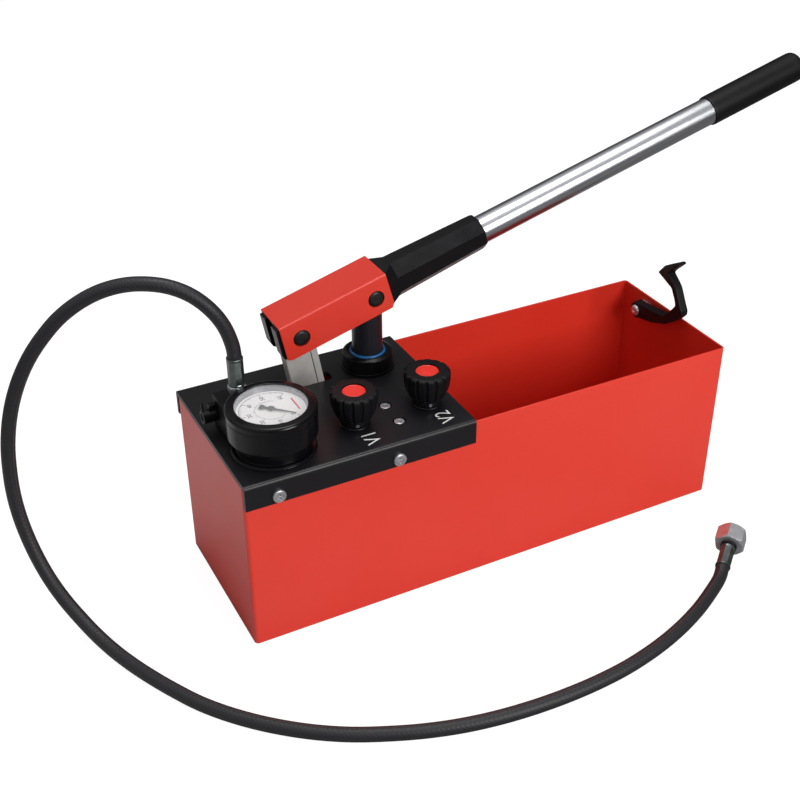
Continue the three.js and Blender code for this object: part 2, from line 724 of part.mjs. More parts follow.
function makeGaugeBase() {
  const stemBottom = blockTop - gaugeStemDrop + seatGap;
  const neckTop = caseBottom - seatGap;
  const body = turned([
    [gaugeBore, stemBottom], [gaugeStemRadius, stemBottom], [gaugeStemRadius, restOnCover],
    [gaugeFlangeRadius, restOnCover], [gaugeFlangeRadius, coverTop + gaugeFlangeHeight],
    [gaugeNeckRadius, coverTop + gaugeFlangeHeight], [gaugeNeckRadius, neckTop],
    [gaugeStemRadius, neckTop], [gaugeStemRadius, socketTop], [gaugeBore, socketTop],
    [gaugeBore, stemBottom],
  ], fineSides);
  const armLow = at(gaugeStemRadius / 2, -bourdonHeight / 2, socketTop - bourdonHeight);
  const armHigh = at(bourdonRadius + bourdonWidth, bourdonHeight / 2, socketTop);
  const shape = fuse(body, box(armLow, armHigh));
  addPiece('gauge_base', shape, blackSteel).position.set(gaugeX, frontRow, 0);
}

function makeGaugeCase() {
  const inner = gaugeCaseRadius - gaugeWall;
  const hole = gaugeStemRadius + seatGap;
  const shape = turned([
    [hole, caseBottom], [gaugeCaseRadius, caseBottom], [gaugeCaseRadius, bezelBottom - seatGap],
    [dialRadius, bezelBottom - seatGap], [dialRadius, dialBottom - seatGap],
    [inner, dialBottom - seatGap], [inner, caseBottom + gaugeFloor], [hole, caseBottom + gaugeFloor],
    [hole, caseBottom],
  ], fineSides);
  addPiece('gauge_case', shape.translate(gaugeX, frontRow, 0), plasticBlack);
}

function makeGaugeBezel() {
  const grip = dialRadius + seatGap;
  const lensSeatRadius = lensRadius + seatGap;
  const shape = turned([
    [grip, bezelBottom], [gaugeRadius, bezelBottom], [gaugeRadius, rimTop - gaugeShoulderDeep],
    [gaugeRadius - gaugeShoulderWide, rimTop], [gaugeOpening, rimTop], [gaugeOpening, lensTop + seatGap],
    [lensSeatRadius, lensTop + seatGap], [lensSeatRadius, coneTop], [gaugeOpening, coneTop],
    [dialSight, coneBottom], [grip, coneBottom], [grip, bezelBottom],
  ], fineSides);
  addPiece('gauge_bezel', shape.translate(gaugeX, frontRow, 0), plasticBlack);
}

function makeGaugeInside() {
  const hole = arborRadius + seatGap;
  const dial = cut(
    post(dialRadius, 0, 0, dialBottom, dialTop, fineSides),
    post(hole, 0, 0, dialBottom - cutOverrun, dialTop + cutOverrun, smallSides),
  );
  addPiece('gauge_dial', dial, dialWhite).position.set(gaugeX, frontRow, 0);
  const lens = post(lensRadius, gaugeX, frontRow, lensBottom, lensTop, fineSides);
  addPiece('gauge_lens', lens, clearGlass);
  const movementLow = socketTop + seatGap;
  const movement = fuse(
    box(
      at(-movementSize / 2, -movementSize / 2, movementLow),
      at(movementSize / 2, movementSize / 2, movementLow + movementHeight),
    ),
    post(arborRadius, 0, 0, movementLow, pointerLow + pointerThickness, smallSides),
  );
  addPiece('gauge_movement', movement, brass).position.set(gaugeX, frontRow, 0);
}

function makeBourdonTube() {
  const innerRadius = bourdonRadius - bourdonWidth / 2;
  const start = Math.asin((bourdonHeight / 2 + seatGap) / innerRadius);
  const end = start + rad(bourdonSweep);
  const arc = new THREE.EllipseCurve(0, 0, bourdonRadius, bourdonRadius, start, end);
  const steps = 3 * arcSteps;
  const centre = arc.getPoints(steps);
  const bands = [innerRadius, innerRadius + bourdonWidth];
  const ring = bands.map((radius) => centre.map((point) => point.clone().setLength(radius)));
  const shape = new THREE.Shape([...ring[1], ...ring[0].reverse()]);
  const tube = flatPlate(shape, socketTop - bourdonHeight, socketTop);
  addPiece('bourdon_tube', tube, brass).position.set(gaugeX, frontRow, 0);
}

function makePointer() {
  const shape = outline([
    [pointerLength, 0], [0, pointerWidth], [-pointerTail, pointerTailWidth],
    [-pointerTail, -pointerTailWidth], [0, -pointerWidth],
  ]);
  const pointerHigh = pointerLow + pointerThickness;
  const body = fuse(
    flatPlate(shape, pointerLow, pointerHigh),
    post(pointerHub, 0, 0, pointerLow, pointerHigh, smallSides),
  );
  const bore = arborRadius + seatGap;
  const hole = post(bore, 0, 0, pointerLow - cutOverrun, pointerHigh + cutOverrun, smallSides);
  const pointer = addPiece('gauge_pointer', cut(body, hole), plasticBlack);
  pointer.rotation.z = rad(pointerRest);
  pointer.position.set(gaugeX, frontRow, 0);
}

// Outlet block, its plug, the elbow under it and the hose port
const outletTop = restOnCover + outletHeight;

function makeOutlet() {
  const left = tankLeft + outletEndGap;
  const low = at(left, frontRow + outletFront, restOnCover);
  const high = at(left + outletWidth, frontRow + outletBack, outletTop);
  const saddleLow = restOnCover - cutOverrun;
  const above = outletTop + cutOverrun;
  const plugY = portY + plugOffset;
  const plugZ = restOnCover + plugHeight;
  const block = cut(
    box(low, high),
    post(gaugeRadius + saddleGap, gaugeX, frontRow, saddleLow, above, fineSides),
    post(portBore, portX, portY, saddleLow, above, smallSides),
    bar(plugStubRadius + seatGap, at(left - cutOverrun, plugY, plugZ), at(portX, plugY, plugZ), smallSides),
  );
  addPiece('outlet_block', block, plasticBlack);
  const face = left - seatGap;
  const outerEnd = face - plugLength;
  const stubFrom = face - plugLength / 2;
  const pinTop = plugZ + plugRadius + plugPinHeight;
  const plug = fuse(
    bar(plugRadius, at(outerEnd, plugY, plugZ), at(face, plugY, plugZ), smallSides),
    bar(plugStubRadius, at(stubFrom, plugY, plugZ), at(face + plugStubLength, plugY, plugZ), smallSides),
    post(plugPinRadius, outerEnd + plugPinRadius, plugY, plugZ, pinTop, smallSides),
    box(
      at(face - plugLugLength, plugY - plugLugWidth / 2, plugZ),
      at(face, plugY + plugLugWidth / 2, plugZ + plugRadius + plugLugHeight),
    ),
  );
  addPiece('side_plug', plug, plasticBlack);
}

function makeOutletElbow() {
  const z = coverUnder - elbowDrop;
  const end = frontRow + valveBlockWidth / 2 + seatGap;
  const top = restOnCover - seatGap;
  const body = fuse(
    post(elbowRadius, portX, portY, z - elbowRadius, top, smallSides),
    bar(elbowRadius, at(portX, portY, z), at(portX, end, z), smallSides),
  );
  const elbow = cut(
    body,
    post(galleryRadius, portX, portY, z, top + cutOverrun, smallSides),
    bar(galleryRadius, at(portX, portY, z), at(portX, end - cutOverrun, z), smallSides),
  );
  addPiece('outlet_elbow', elbow, steel);
}

const portHexLow = outletTop + seatGap;
const portHexTop = portHexLow + portHexHeight;
const portFerruleLow = portHexTop + seatGap;
const portFerruleTop = portFerruleLow + portFerruleLength;

function makePort() {
  const stubLow = outletTop - portStubLength;
  const nippleTop = portFerruleTop - seatGap;
  const adapter = cut(
    fuse(
      prism(portHexFlats, 6, portHexLow, portHexTop),
      post(portStubRadius, 0, 0, stubLow, portHexTop, smallSides),
      post(nippleRadius, 0, 0, portHexLow, nippleTop, smallSides),
    ),
    post(nippleBore, 0, 0, stubLow - cutOverrun, nippleTop + cutOverrun, smallSides),
  );
  addPiece('hose_port_adapter', adapter, zinc).position.set(portX, portY, 0);
  const bore = nippleRadius + seatGap;
  const ferrule = ringAlong(ferruleRadius, bore, portFerruleLow, portFerruleTop, ferruleSides);
  addPiece('port_ferrule', ferrule, zinc).position.set(portX, portY, 0);
}

// A ring about Z between two heights
function ringAlong(outer, inner, low, high, sides) {
  return turned([[inner, low], [outer, low], [outer, high], [inner, high], [inner, low]], sides);
}

// Hose and the fittings on its far end
const routePoints = hosePoints.map((point) => new THREE.Vector3(...point));
const hoseEnd = routePoints[routePoints.length - 1];
const hoseEndWay = new THREE.Vector3().subVectors(hoseEnd, routePoints[routePoints.length - 2]).normalize();

function makeHose() {
  const section = new THREE.Shape();
  section.absarc(0, 0, hoseRadius, 0, 2 * Math.PI);
  const route = new THREE.CatmullRomCurve3(routePoints, false, 'centripetal');
  const options = {
    steps: hoseSteps, extrudePath: route, bevelEnabled: false, curveSegments: hoseSides / 2,
  };
  addPiece('hose', new THREE.ExtrudeGeometry(section, options), hoseRubber);
}

// Places a piece modelled along Z so that it starts at the hose's end and points onward
function alignToHoseEnd(mesh) {
  mesh.quaternion.setFromUnitVectors(at(0, 0, 1), hoseEndWay);
  mesh.position.copy(hoseEnd);
}

function makeHoseEnd() {
  const bore = nippleRadius + seatGap;
  const ferruleEnd = seatGap + endFerruleLength;
  const ferrule = ringAlong(ferruleRadius, bore, seatGap, ferruleEnd, ferruleSides);
  alignToHoseEnd(addPiece('hose_end_ferrule', ferrule, zinc));
  const beadLow = ferruleEnd + seatGap;
  const beadHigh = beadLow + tailBeadLength;
  const nutLow = beadHigh + seatGap;
  const headLow = nutLow + nutBackWall + seatGap;
  const headHigh = headLow + tailHeadLength;
  const tail = turned([
    [nippleBore, 2 * seatGap], [nippleRadius, 2 * seatGap], [nippleRadius, beadLow],
    [tailBeadRadius, beadLow], [tailBeadRadius, beadHigh], [tailNeckRadius, beadHigh],
    [tailNeckRadius, headLow], [tailHeadRadius, headLow], [tailHeadRadius, headLow + tailHeadLength / 2],
    [tailNeckRadius, headHigh], [nippleBore, headHigh], [nippleBore, 2 * seatGap],
  ], smallSides);
  alignToHoseEnd(addPiece('hose_end_tail', tail, zinc));
  const nutHigh = nutLow + nutLength;
  const cornerRadius = nutFlats / 2 / Math.cos(Math.PI / 6);
  const faceRadius = nutFlats / 2 - seatGap;
  const envelope = turned([
    [0, nutLow], [faceRadius, nutLow], [cornerRadius, nutLow + nutChamfer],
    [cornerRadius, nutHigh - nutChamfer], [faceRadius, nutHigh], [0, nutHigh],
  ]);
  const nut = cut(
    common(prism(nutFlats, 6, nutLow - cutOverrun, nutHigh + cutOverrun), envelope),
    post(tailNeckRadius + seatGap, 0, 0, nutLow - cutOverrun, nutHigh),
    post(nutSocketRadius, 0, 0, nutLow + nutBackWall, nutHigh + cutOverrun),
  );
  alignToHoseEnd(addPiece('swivel_nut', nut, zinc));
}

// Pump cylinder, gland and suction side
function makeCylinder() {
  const bore = plungerRadius + plungerClearance;
  const neckTop = coverTop + neckHeight;
  const sealFloor = neckTop - sealHeight - seatGap;
  const barrel = turned([
    [suctionBore, cylinderBottom], [cylinderRadius, cylinderBottom], [cylinderRadius, hangUnderCover],
    [neckRadius, hangUnderCover], [neckRadius, neckTop], [sealRadius + seatGap, neckTop],
    [sealRadius + seatGap, sealFloor], [bore, sealFloor], [bore, boreFloor],
    [ballCageRadius, boreFloor], [ballCageRadius, cageFloor], [suctionBore, cageFloor],
    [suctionBore, cylinderBottom],
  ], fineSides).translate(plungerX, rearRow, 0);
  const pipeZ = coverUnder - pressurePipeDrop;
  const port = bar(
    pressurePipeBore,
    at(plungerX, rearRow - plungerRadius, pipeZ),
    at(plungerX, rearRow - cylinderRadius - cutOverrun, pipeZ),
    smallSides,
  );
  addPiece('pump_cylinder', cut(barrel, port), steel);
  const seal = ringAlong(sealRadius, bore, sealFloor + seatGap, neckTop, roundSides);
  addPiece('packing_seal', seal.translate(plungerX, rearRow, 0), sealBlack);
  const ball = new THREE.SphereGeometry(ballRadius, roundSides, smallSides);
  ball.rotateX(Math.PI / 2).translate(plungerX, rearRow, cageFloor + ballRest + seatGap);
  addPiece('suction_ball', ball, steel);
}

const washerTop = restOnCover + washerHeight;
const collarHigh = coverTop + collarTop;

function makeGland() {
  const washer = ringAlong(washerRadius, neckRadius + seatGap, restOnCover, washerTop, fineSides);
  addPiece('gland_washer', washer.translate(plungerX, rearRow, 0), blackSteel);
  const collarLow = washerTop + seatGap;
  const neckBore = neckRadius + seatGap;
  const roof = coverTop + neckHeight + seatGap;
  const wiperFloor = collarHigh - wiperDepth;
  const wiperBore = wiperRadius + seatGap;
  const bore = plungerRadius + plungerClearance;
  const collar = turned([
    [neckBore, collarLow], [collarRadius, collarLow], [collarRadius, collarHigh - collarChamferDeep],
    [collarRadius - collarChamferWide, collarHigh], [wiperBore, collarHigh], [wiperBore, wiperFloor],
    [bore, wiperFloor], [bore, roof], [neckBore, roof], [neckBore, collarLow],
  ], fineSides);
  addPiece('gland_collar', collar.translate(plungerX, rearRow, 0), blackSteel);
  const wiperTop = collarHigh + wiperRise;
  const wiper = turned([
    [bore, wiperFloor + seatGap], [wiperRadius, wiperFloor + seatGap], [wiperRadius, collarHigh],
    [bore + seatGap, wiperTop], [bore, wiperTop], [bore, wiperFloor + seatGap],
  ], fineSides);
  addPiece('wiper_seal', wiper.translate(plungerX, rearRow, 0), sealBlue);
}

function makeStrainer() {
  const [bottom, top] = [strainerBottom, strainerTop];
  const shoulder = top - strainerNeckLength;
  const inner = strainerRadius - strainerWall;
  const can = turned([
    [0, bottom], [strainerRadius, bottom], [strainerRadius, shoulder], [strainerNeckRadius, shoulder],
    [strainerNeckRadius, top], [suctionBore, top], [suctionBore, shoulder - strainerWall],
    [inner, shoulder - strainerWall], [inner, bottom + strainerWall], [0, bottom + strainerWall],
  ]);
  const slots = [];
  for (let slot = 0; slot < strainerSlots / 2; slot += 1) {
    const blade = box(
      at(-strainerRadius - cutOverrun, -strainerSlotWidth / 2, bottom + strainerBand),
      at(strainerRadius + cutOverrun, strainerSlotWidth / 2, shoulder - strainerBand),
    );
    slots.push(blade.rotateZ(slot * 2 * Math.PI / strainerSlots));
  }
  addPiece('suction_strainer', cut(can, ...slots), brass).position.set(plungerX, rearRow, 0);
}

function makePressurePipe() {
  const z = coverUnder - pressurePipeDrop;
  const from = frontRow + valveBlockWidth / 2 + seatGap;
  const to = rearRow - cylinderRadius - seatGap;
  const nut = (start, end) => {
    const geometry = prism(pipeNutFlats, 6, start, end);
    return geometry.rotateX(-Math.PI / 2).translate(plungerX, 0, z);
  };
  const body = fuse(
    bar(pressurePipeRadius, at(plungerX, from, z), at(plungerX, to, z), smallSides),
    nut(from, from + pipeNutLength),
    nut(to - pipeNutLength, to),
  );
  const bore = bar(
    pressurePipeBore,
    at(plungerX, from - cutOverrun, z),
    at(plungerX, to + cutOverrun, z),
    smallSides,
  );
  addPiece('pressure_pipe', cut(body, bore), steel);
}

// Link, its bracket below the cover and the foot pin
const linkTurn = linkLean(rad(leverRest));

function makeLink() {
  const radius = linkWidth / 2;
  const side = new THREE.Shape();
  side.absarc(0, 0, radius, 0, Math.PI);
  side.absarc(0, -linkLength, radius, Math.PI, 2 * Math.PI);
  const holeLength = linkThickness + 2 * cutOverrun;
  const pinHole = bar(pinRadius + seatGap, at(0, -holeLength, 0), at(0, holeLength, 0), smallSides);
  const footRadius = pinRadius + linkFootPlay;
  const foot = sidePlate(obround(-linkFootSlide, seatGap, footRadius), holeLength);
  foot.translate(0, 0, -linkLength);
  const grooveX = radius - linkGrooveInset;
  const groove = box(
    at(grooveX - linkGrooveWidth / 2, -linkThickness / 2 - cutOverrun, -linkLength),
    at(grooveX + linkGrooveWidth / 2, -linkThickness / 2 + linkGrooveDepth, 0),
  );
  const link = addPiece('link', cut(sidePlate(side, linkThickness), pinHole, foot, groove), castGrey);
  link.rotation.y = -linkTurn;
  link.position.set(eyeX, rearRow, eyeZ);
}

function makeLinkBracket() {
  const inner = slotHalfWidth;
  const outer = inner + bracketPlate;
  const lugHalf = linkWidth / 2;
  const lugs = [-1, 1].map((side) => {
    const shape = new THREE.Shape();
    shape.moveTo(lugHalf, hangUnderCover - footZ);
    shape.lineTo(-lugHalf, hangUnderCover - footZ);
    shape.absarc(0, 0, bracketLugReach, Math.PI, 2 * Math.PI);
    const y = rearRow + side * (inner + outer) / 2;
    return sidePlate(shape, bracketPlate).translate(footX, y, footZ);
  });
  const slab = (side, reach, half, low, high) => {
    const [near, far] = [rearRow + side * inner, rearRow + side * reach];
    return box(
      at(footX - half, Math.min(near, far), low),
      at(footX + half, Math.max(near, far), high),
    );
  };
  const plateLow = hangUnderCover - bracketPlate;
  const plate = (side) => slab(side, outer + bracketFoot, lugHalf, plateLow, hangUnderCover);
  const tieLow = footZ - bracketLugReach - linkWidth / 2;
  const tie = box(
    at(footX - bracketLugReach, rearRow - outer, tieLow - bracketPlate),
    at(footX + bracketLugReach, rearRow + outer, tieLow),
  );
  const strut = (side) => slab(side, outer, bracketLugReach, tieLow - bracketPlate, footZ);
  const hole = bar(
    pinRadius + seatGap,
    at(footX, rearRow - outer - cutOverrun, footZ),
    at(footX, rearRow + outer + cutOverrun, footZ),
    smallSides,
  );
  const body = fuse(...lugs, plate(-1), plate(1), tie, strut(-1), strut(1));
  addPiece('link_bracket', cut(body, hole), blackSteel);
  const headFace = rearRow + outer + seatGap;
  const tail = rearRow - outer - seatGap - footPinHeadHeight;
  const pin = fuse(
    bar(pinRadius, at(footX, tail, footZ), at(footX, headFace + footPinHeadHeight / 2, footZ), smallSides),
    bar(footPinHead, at(footX, headFace, footZ), at(footX, headFace + footPinHeadHeight, footZ), smallSides),
  );
  addPiece('link_base_pin', pin, steel);
}

// Plunger with a milled tongue around its pin
function makePlunger() {
  const bottom = pinZ - plungerBelowPin;
  const body = turned([
    [0, bottom], [plungerRadius - plungerChamfer, bottom], [plungerRadius, bottom + plungerChamfer],
    [plungerRadius, pinZ], [0, pinZ],
  ], fineSides);
  const hubGap = forkHub + linkageGap;
  const tongueRadius = plungerRadius - linkageGap;
  const tongueHalf = linkThickness / 2;
  const dome = bar(tongueRadius, at(0, -tongueHalf, pinZ), at(0, tongueHalf, pinZ), fineSides);
  const outside = plungerRadius + cutOverrun;
  const pockets = [-1, 1].map((side) => bar(
    hubGap,
    at(0, side * tongueHalf, pinZ),
    at(0, side * outside, pinZ),
    fineSides,
  ));
  const hole = bar(pinRadius + seatGap, at(0, -outside, pinZ), at(0, outside, pinZ), smallSides);
  const shape = cut(fuse(body, dome), ...pockets, hole);
  addPiece('plunger', shape, blackSteel).position.set(plungerX, rearRow, 0);
}

// Lever, in its own turned group: X runs along it from the plunger pin, Z is square to it
const lever = new THREE.Group();
lever.position.set(plungerX, rearRow, pinZ);
lever.rotation.y = -rad(leverRest);

const channelInside = channelWidth / 2 - channelSheet;
const forkHalf = channelInside - seatGap;

function makeChannel() {
  const left = -pivotSpan - channelNose;
  const side = outline([
    [left, -channelBottom + channelNoseRise], [left + channelNoseChamfer, -channelBottom],
    [channelHeel - channelHeelChamfer, -channelBottom], [channelHeel, -channelBottom + channelHeelRise],
    [channelHeel, channelTop], [left + channelSlant, channelTop],
  ]);
  const inner = box(
    at(left - cutOverrun, -channelInside, -channelBottom - cutOverrun),
    at(channelHeel + cutOverrun, channelInside, channelTop - channelSheet),
  );
  const holes = [0, -pivotSpan].map((u) => bar(
    pinHeadHole,
    at(u, -channelWidth, 0),
    at(u, channelWidth, 0),
  ));
  addPiece('lever_channel', cut(sidePlate(side, channelWidth), inner, ...holes), paintedRed, lever);
}

// The wedge that the plunger sweeps inside the fork, seen from the lever
function plungerSweep() {
  const half = plungerRadius + seatGap;
  const reach = forkHub + plungerRadius + cutOverrun;
  const wedge = [leverDown, 0, leverUp].map((turn) => {
    const way = box(at(-half, -half, -reach), at(half, half, 0));
    return way.rotateY(rad(leverRest + turn));
  });
  return fuse(...wedge);
}

function makeSocket() {
  const top = channelTop - channelSheet - seatGap;
  const nose = -pivotSpan - channelNose - forkReach;
  const side = new THREE.Shape();
  side.moveTo(channelHeel, top);
  side.lineTo(nose + channelSlant, top);
  side.lineTo(nose, -forkBottom + forkRound);
  side.quadraticCurveTo(nose, -forkBottom, nose + forkRound, -forkBottom);
  side.lineTo(channelHeel, -forkBottom);
  const hub = bar(forkHub, at(0, -forkHalf, 0), at(0, forkHalf, 0), fineSides);
  const flat = sidePlate(side, 2 * forkHalf);
  const cheeks = fuse(cut(flat, plungerSweep()), common(hub, flat));
  const octagonAt = channelHeel + neckLength;
  const corner = Math.cos(Math.PI / 8);
  const octagon = (u, flats) => Array.from({ length: 8 }, (_, k) => {
    const angle = (k + 0.5) * Math.PI / 4;
    const radius = flats / 2 / corner;
    return at(u, radius * Math.cos(angle), radius * Math.sin(angle));
  });
  const heel = channelHeel - seatGap;
  const heelFace = [-forkHalf, forkHalf].flatMap((y) => [-forkBottom, top].map((v) => at(heel, y, v)));
  const neck = new ConvexGeometry([...heelFace, ...octagon(octagonAt, socketFlats)]);
  const chamferAt = socketEnd - socketChamfer;
  const shaft = new ConvexGeometry([
    ...octagon(octagonAt, socketFlats),
    ...octagon(chamferAt, socketEndFlats),
  ]);
  const tip = new ConvexGeometry([
    ...octagon(chamferAt, socketEndFlats),
    ...octagon(socketEnd, socketEndFlats - socketChamfer / 2),
  ]);
  const slotHalf = linkThickness / 2 + seatGap;
  const slotEnd = plungerRadius + forkSlotPlay;
  const slotLow = at(nose - cutOverrun, -slotHalf, -socketFlats);
  const slot = box(slotLow, at(slotEnd, slotHalf, socketFlats));
  const bore = bar(tubeRadius + seatGap, at(socketEnd - tubeDepth, 0, 0), at(socketEnd + cutOverrun, 0, 0));
  const holes = [0, -pivotSpan].map((u) => bar(
    pinRadius + seatGap,
    at(u, -channelWidth, 0),
    at(u, channelWidth, 0),
    smallSides,
  ));
  addPiece('lever_socket', cut(fuse(cheeks, neck, shaft, tip), slot, bore, ...holes), blackSteel, lever);
}

function makeLeverTube() {
  const from = socketEnd - tubeDepth + seatGap;
  const to = gripEnd - gripCap - seatGap;
  const tube = ringAlong(tubeRadius, tubeRadius - tubeWall, from, to, roundSides).rotateY(Math.PI / 2);
  addPiece('lever_tube', tube, zinc, lever);
  const bore = tubeRadius + seatGap;
  const round = [1, 2, 3].map((step) => {
    const angle = step * Math.PI / 8;
    return [gripRadius - gripRound * (1 - Math.cos(angle)), gripEnd - gripRound * (1 - Math.sin(angle))];
  });
  const grip = turned([
    [bore, gripStart], [gripRadius, gripStart], [gripRadius, gripEnd - gripRound], ...round,
    [gripRadius - gripRound, gripEnd], [0, gripEnd], [0, gripEnd - gripCap], [bore, gripEnd - gripCap],
    [bore, gripStart],
  ]).rotateY(Math.PI / 2);
  addPiece('lever_grip', grip, plasticBlack, lever);
}

function makeLeverPin(name, u) {
  const face = forkHalf + seatGap;
  const domeEnd = face + pinHeadHeight;
  const half = [
    [pinRadius, face], [pinHeadRadius, face], [pinHeadRadius, face + pinHeadHeight / 2],
    [pinHeadRadius * headCrownShare, domeEnd], [0, domeEnd],
  ];
  const mirrored = half.map(([radius, along]) => [radius, -along]).reverse();
  const pin = turned([...mirrored, ...half], smallSides).rotateX(Math.PI / 2);
  addPiece(name, pin.translate(u, 0, 0), blackSteel, lever);
}

// Hook on the tank's right wall
function makeHook() {
  const shape = outline(hookOutlineShares.map(([y, z]) => [y * hookSize, z * hookSize]));
  const options = { depth: hookThickness, bevelEnabled: false };
  const plate = new THREE.ExtrudeGeometry(shape, options).rotateX(Math.PI / 2).rotateZ(Math.PI / 2);
  const hub = bar(hookHubRadius, at(0, 0, 0), at(hookThickness, 0, 0), roundSides);
  const bore = hookScrewRadius + seatGap;
  const hole = bar(bore, at(-cutOverrun, 0, 0), at(hookThickness + cutOverrun, 0, 0), smallSides);
  const wallFace = hookPivot.x;
  const hookLeft = wallFace - 2 * seatGap - hookSpacer - hookThickness;
  const hook = addPiece('hook', cut(fuse(plate, hub), hole), plasticBlack);
  hook.position.set(hookLeft, hookPivot.y, hookPivot.z);
  const spacerHigh = wallFace - seatGap;
  const spacer = ringAlong(hookHubRadius, bore, spacerHigh - hookSpacer, spacerHigh, smallSides);
  const along = (geometry) => geometry.rotateY(Math.PI / 2).translate(0, hookPivot.y, hookPivot.z);
  addPiece('hook_spacer', along(spacer), zinc);
  const headFace = hookLeft - seatGap;
  const nutFace = tankRight + seatGap;
  const screw = turned([
    [0, headFace - hookHeadHeight], [hookHeadRadius * headCrownShare, headFace - hookHeadHeight],
    [hookHeadRadius, headFace - hookHeadHeight / 2], [hookHeadRadius, headFace],
    [hookScrewRadius, headFace], [hookScrewRadius, nutFace + hookNutHeight], [0, nutFace + hookNutHeight],
  ], smallSides);
  addPiece('hook_screw', along(screw), zinc);
  const nut = cut(
    prism(hookNutFlats, 6, nutFace, nutFace + hookNutHeight),
    post(bore, 0, 0, nutFace - cutOverrun, nutFace + hookNutHeight + cutOverrun, smallSides),
  );
  addPiece('hook_nut', along(geometryOf(nut)), zinc);
}

makeTank();
makeCover();
makeFlangeScrew('cover_screw_front_left', flangeScrewXs[0], -1);
makeFlangeScrew('cover_screw_front_right', flangeScrewXs[1], -1);
makeFlangeScrew('cover_screw_rear_left', flangeScrewXs[0], 1);
makeFlangeScrew('cover_screw_rear_right', flangeScrewXs[1], 1);
makeValveBlock();
makeBlockScrew('block_screw_front', blockScrewYs[0]);
makeBlockScrew('block_screw_rear', blockScrewYs[1]);
valveXs.forEach((x, index) => {
  makeBonnet(`valve_bonnet_${index + 1}`, x);
  makeSpindle(`valve_spindle_${index + 1}`, x);
  makeKnob(index + 1, x);
});
makeGaugeBase();
makeGaugeCase();
makeGaugeBezel();
makeGaugeInside();
makeBourdonTube();
makePointer();
makeOutlet();
makeOutletElbow();
makePort();
makeHose();
makeHoseEnd();
makeCylinder();
makeGland();
makeStrainer();
makePressurePipe();
makeLink();
makeLinkBracket();
makePlunger();
pump.add(lever);
makeChannel();
makeSocket();
makeLeverTube();
makeLeverPin('lever_pin_link', -pivotSpan);
makeLeverPin('lever_pin_plunger', 0);
makeHook();

export default pump;
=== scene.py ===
# %% [markdown]
# # Hydrostatic test pump
# A hand pump that fills a pipe with water and holds it under pressure, to see whether it
# leaks. This notebook dresses the finished CAD model: it puts finely shaped surfaces over
# the coarse solids, gives every finish its own material, and sets up camera and light.

# %% Start
import math

import bmesh
import bpy
import numpy as np
from mathutils import Matrix, Vector
from mathutils.geometry import tessellate_polygon


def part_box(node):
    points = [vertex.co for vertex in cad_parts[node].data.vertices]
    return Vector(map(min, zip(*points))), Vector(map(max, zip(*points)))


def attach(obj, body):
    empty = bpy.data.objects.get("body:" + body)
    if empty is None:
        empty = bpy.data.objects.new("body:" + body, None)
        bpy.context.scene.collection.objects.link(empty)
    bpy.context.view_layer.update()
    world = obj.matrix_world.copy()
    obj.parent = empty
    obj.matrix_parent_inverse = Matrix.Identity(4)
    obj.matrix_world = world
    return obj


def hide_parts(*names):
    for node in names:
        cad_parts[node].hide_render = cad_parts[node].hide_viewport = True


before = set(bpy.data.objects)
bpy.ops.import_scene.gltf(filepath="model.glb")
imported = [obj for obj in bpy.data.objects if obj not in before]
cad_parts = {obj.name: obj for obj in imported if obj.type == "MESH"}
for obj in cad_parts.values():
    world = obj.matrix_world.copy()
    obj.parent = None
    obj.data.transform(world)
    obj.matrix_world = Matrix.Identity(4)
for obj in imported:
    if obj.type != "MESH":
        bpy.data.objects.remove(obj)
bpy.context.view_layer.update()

MM = 0.001
TURN = 2 * math.pi

# %% [markdown]
# ## Camera
# The view was found from the edges of the tank: the camera stands left of the front, looks
# down by about 33 degrees, and is rolled by a third of a degree. The camera's own axes are
# worked out from those angles, so nothing has to be aimed by hand.

# %% Camera
AZIMUTH, ELEVATION, ROLL = np.radians([-27.03, 32.65, -0.33])
TARGET = np.array([-0.0130, 0.1036, 0.0900])
DISTANCE = 1.3639
LENS_MM, SENSOR_MM = 56.86, 36.0

back = np.array([
    math.sin(AZIMUTH) * math.cos(ELEVATION),
    -math.cos(AZIMUTH) * math.cos(ELEVATION),
    math.sin(ELEVATION),
])
right = np.cross([0, 0, 1], back)
right /= np.linalg.norm(right)
above = np.cross(back, right)
rolled_right = right * math.cos(ROLL) + above * math.sin(ROLL)
rolled_above = above * math.cos(ROLL) - right * math.sin(ROLL)

camera_data = bpy.data.cameras.new("camera")
camera_data.lens = LENS_MM
camera_data.sensor_width = SENSOR_MM


def linked(name, data):
    """A new object that holds the data, linked to the scene."""
    thing = bpy.data.objects.new(name, data)
    bpy.context.scene.collection.objects.link(thing)
    return thing


camera = linked("camera", camera_data)
stand = Matrix(np.column_stack([rolled_right, rolled_above, back]).tolist()).to_4x4()
stand.translation = Vector(TARGET + DISTANCE * back)
camera.matrix_world = stand
bpy.context.scene.camera = camera
bpy.context.scene.view_settings.view_transform = "Standard"
print("camera stands at", [round(x, 3) for x in camera.location])

# %% [markdown]
# ## Helpers for materials
# Colours are written as the hex values that a painter would pick from a screen, and one
# function turns them to the linear values that the renderer counts with. Another adds a
# node: what is a socket gets linked, and what is a plain value is set. The last one starts
# a material, with its surface shader.

# %% Colour and node helpers
def linear(code):
    """A hex colour as linear red, green, blue and 1: each share s becomes s / 12.92 below
    0.04045, and ((s + 0.055) / 1.055) to the power 2.4 above it."""
    share = np.array([int(code[i:i + 2], 16) for i in (0, 2, 4)]) / 255
    value = np.where(share <= 0.04045, share / 12.92, ((share + 0.055) / 1.055) ** 2.4)
    return (*value.tolist(), 1.0)


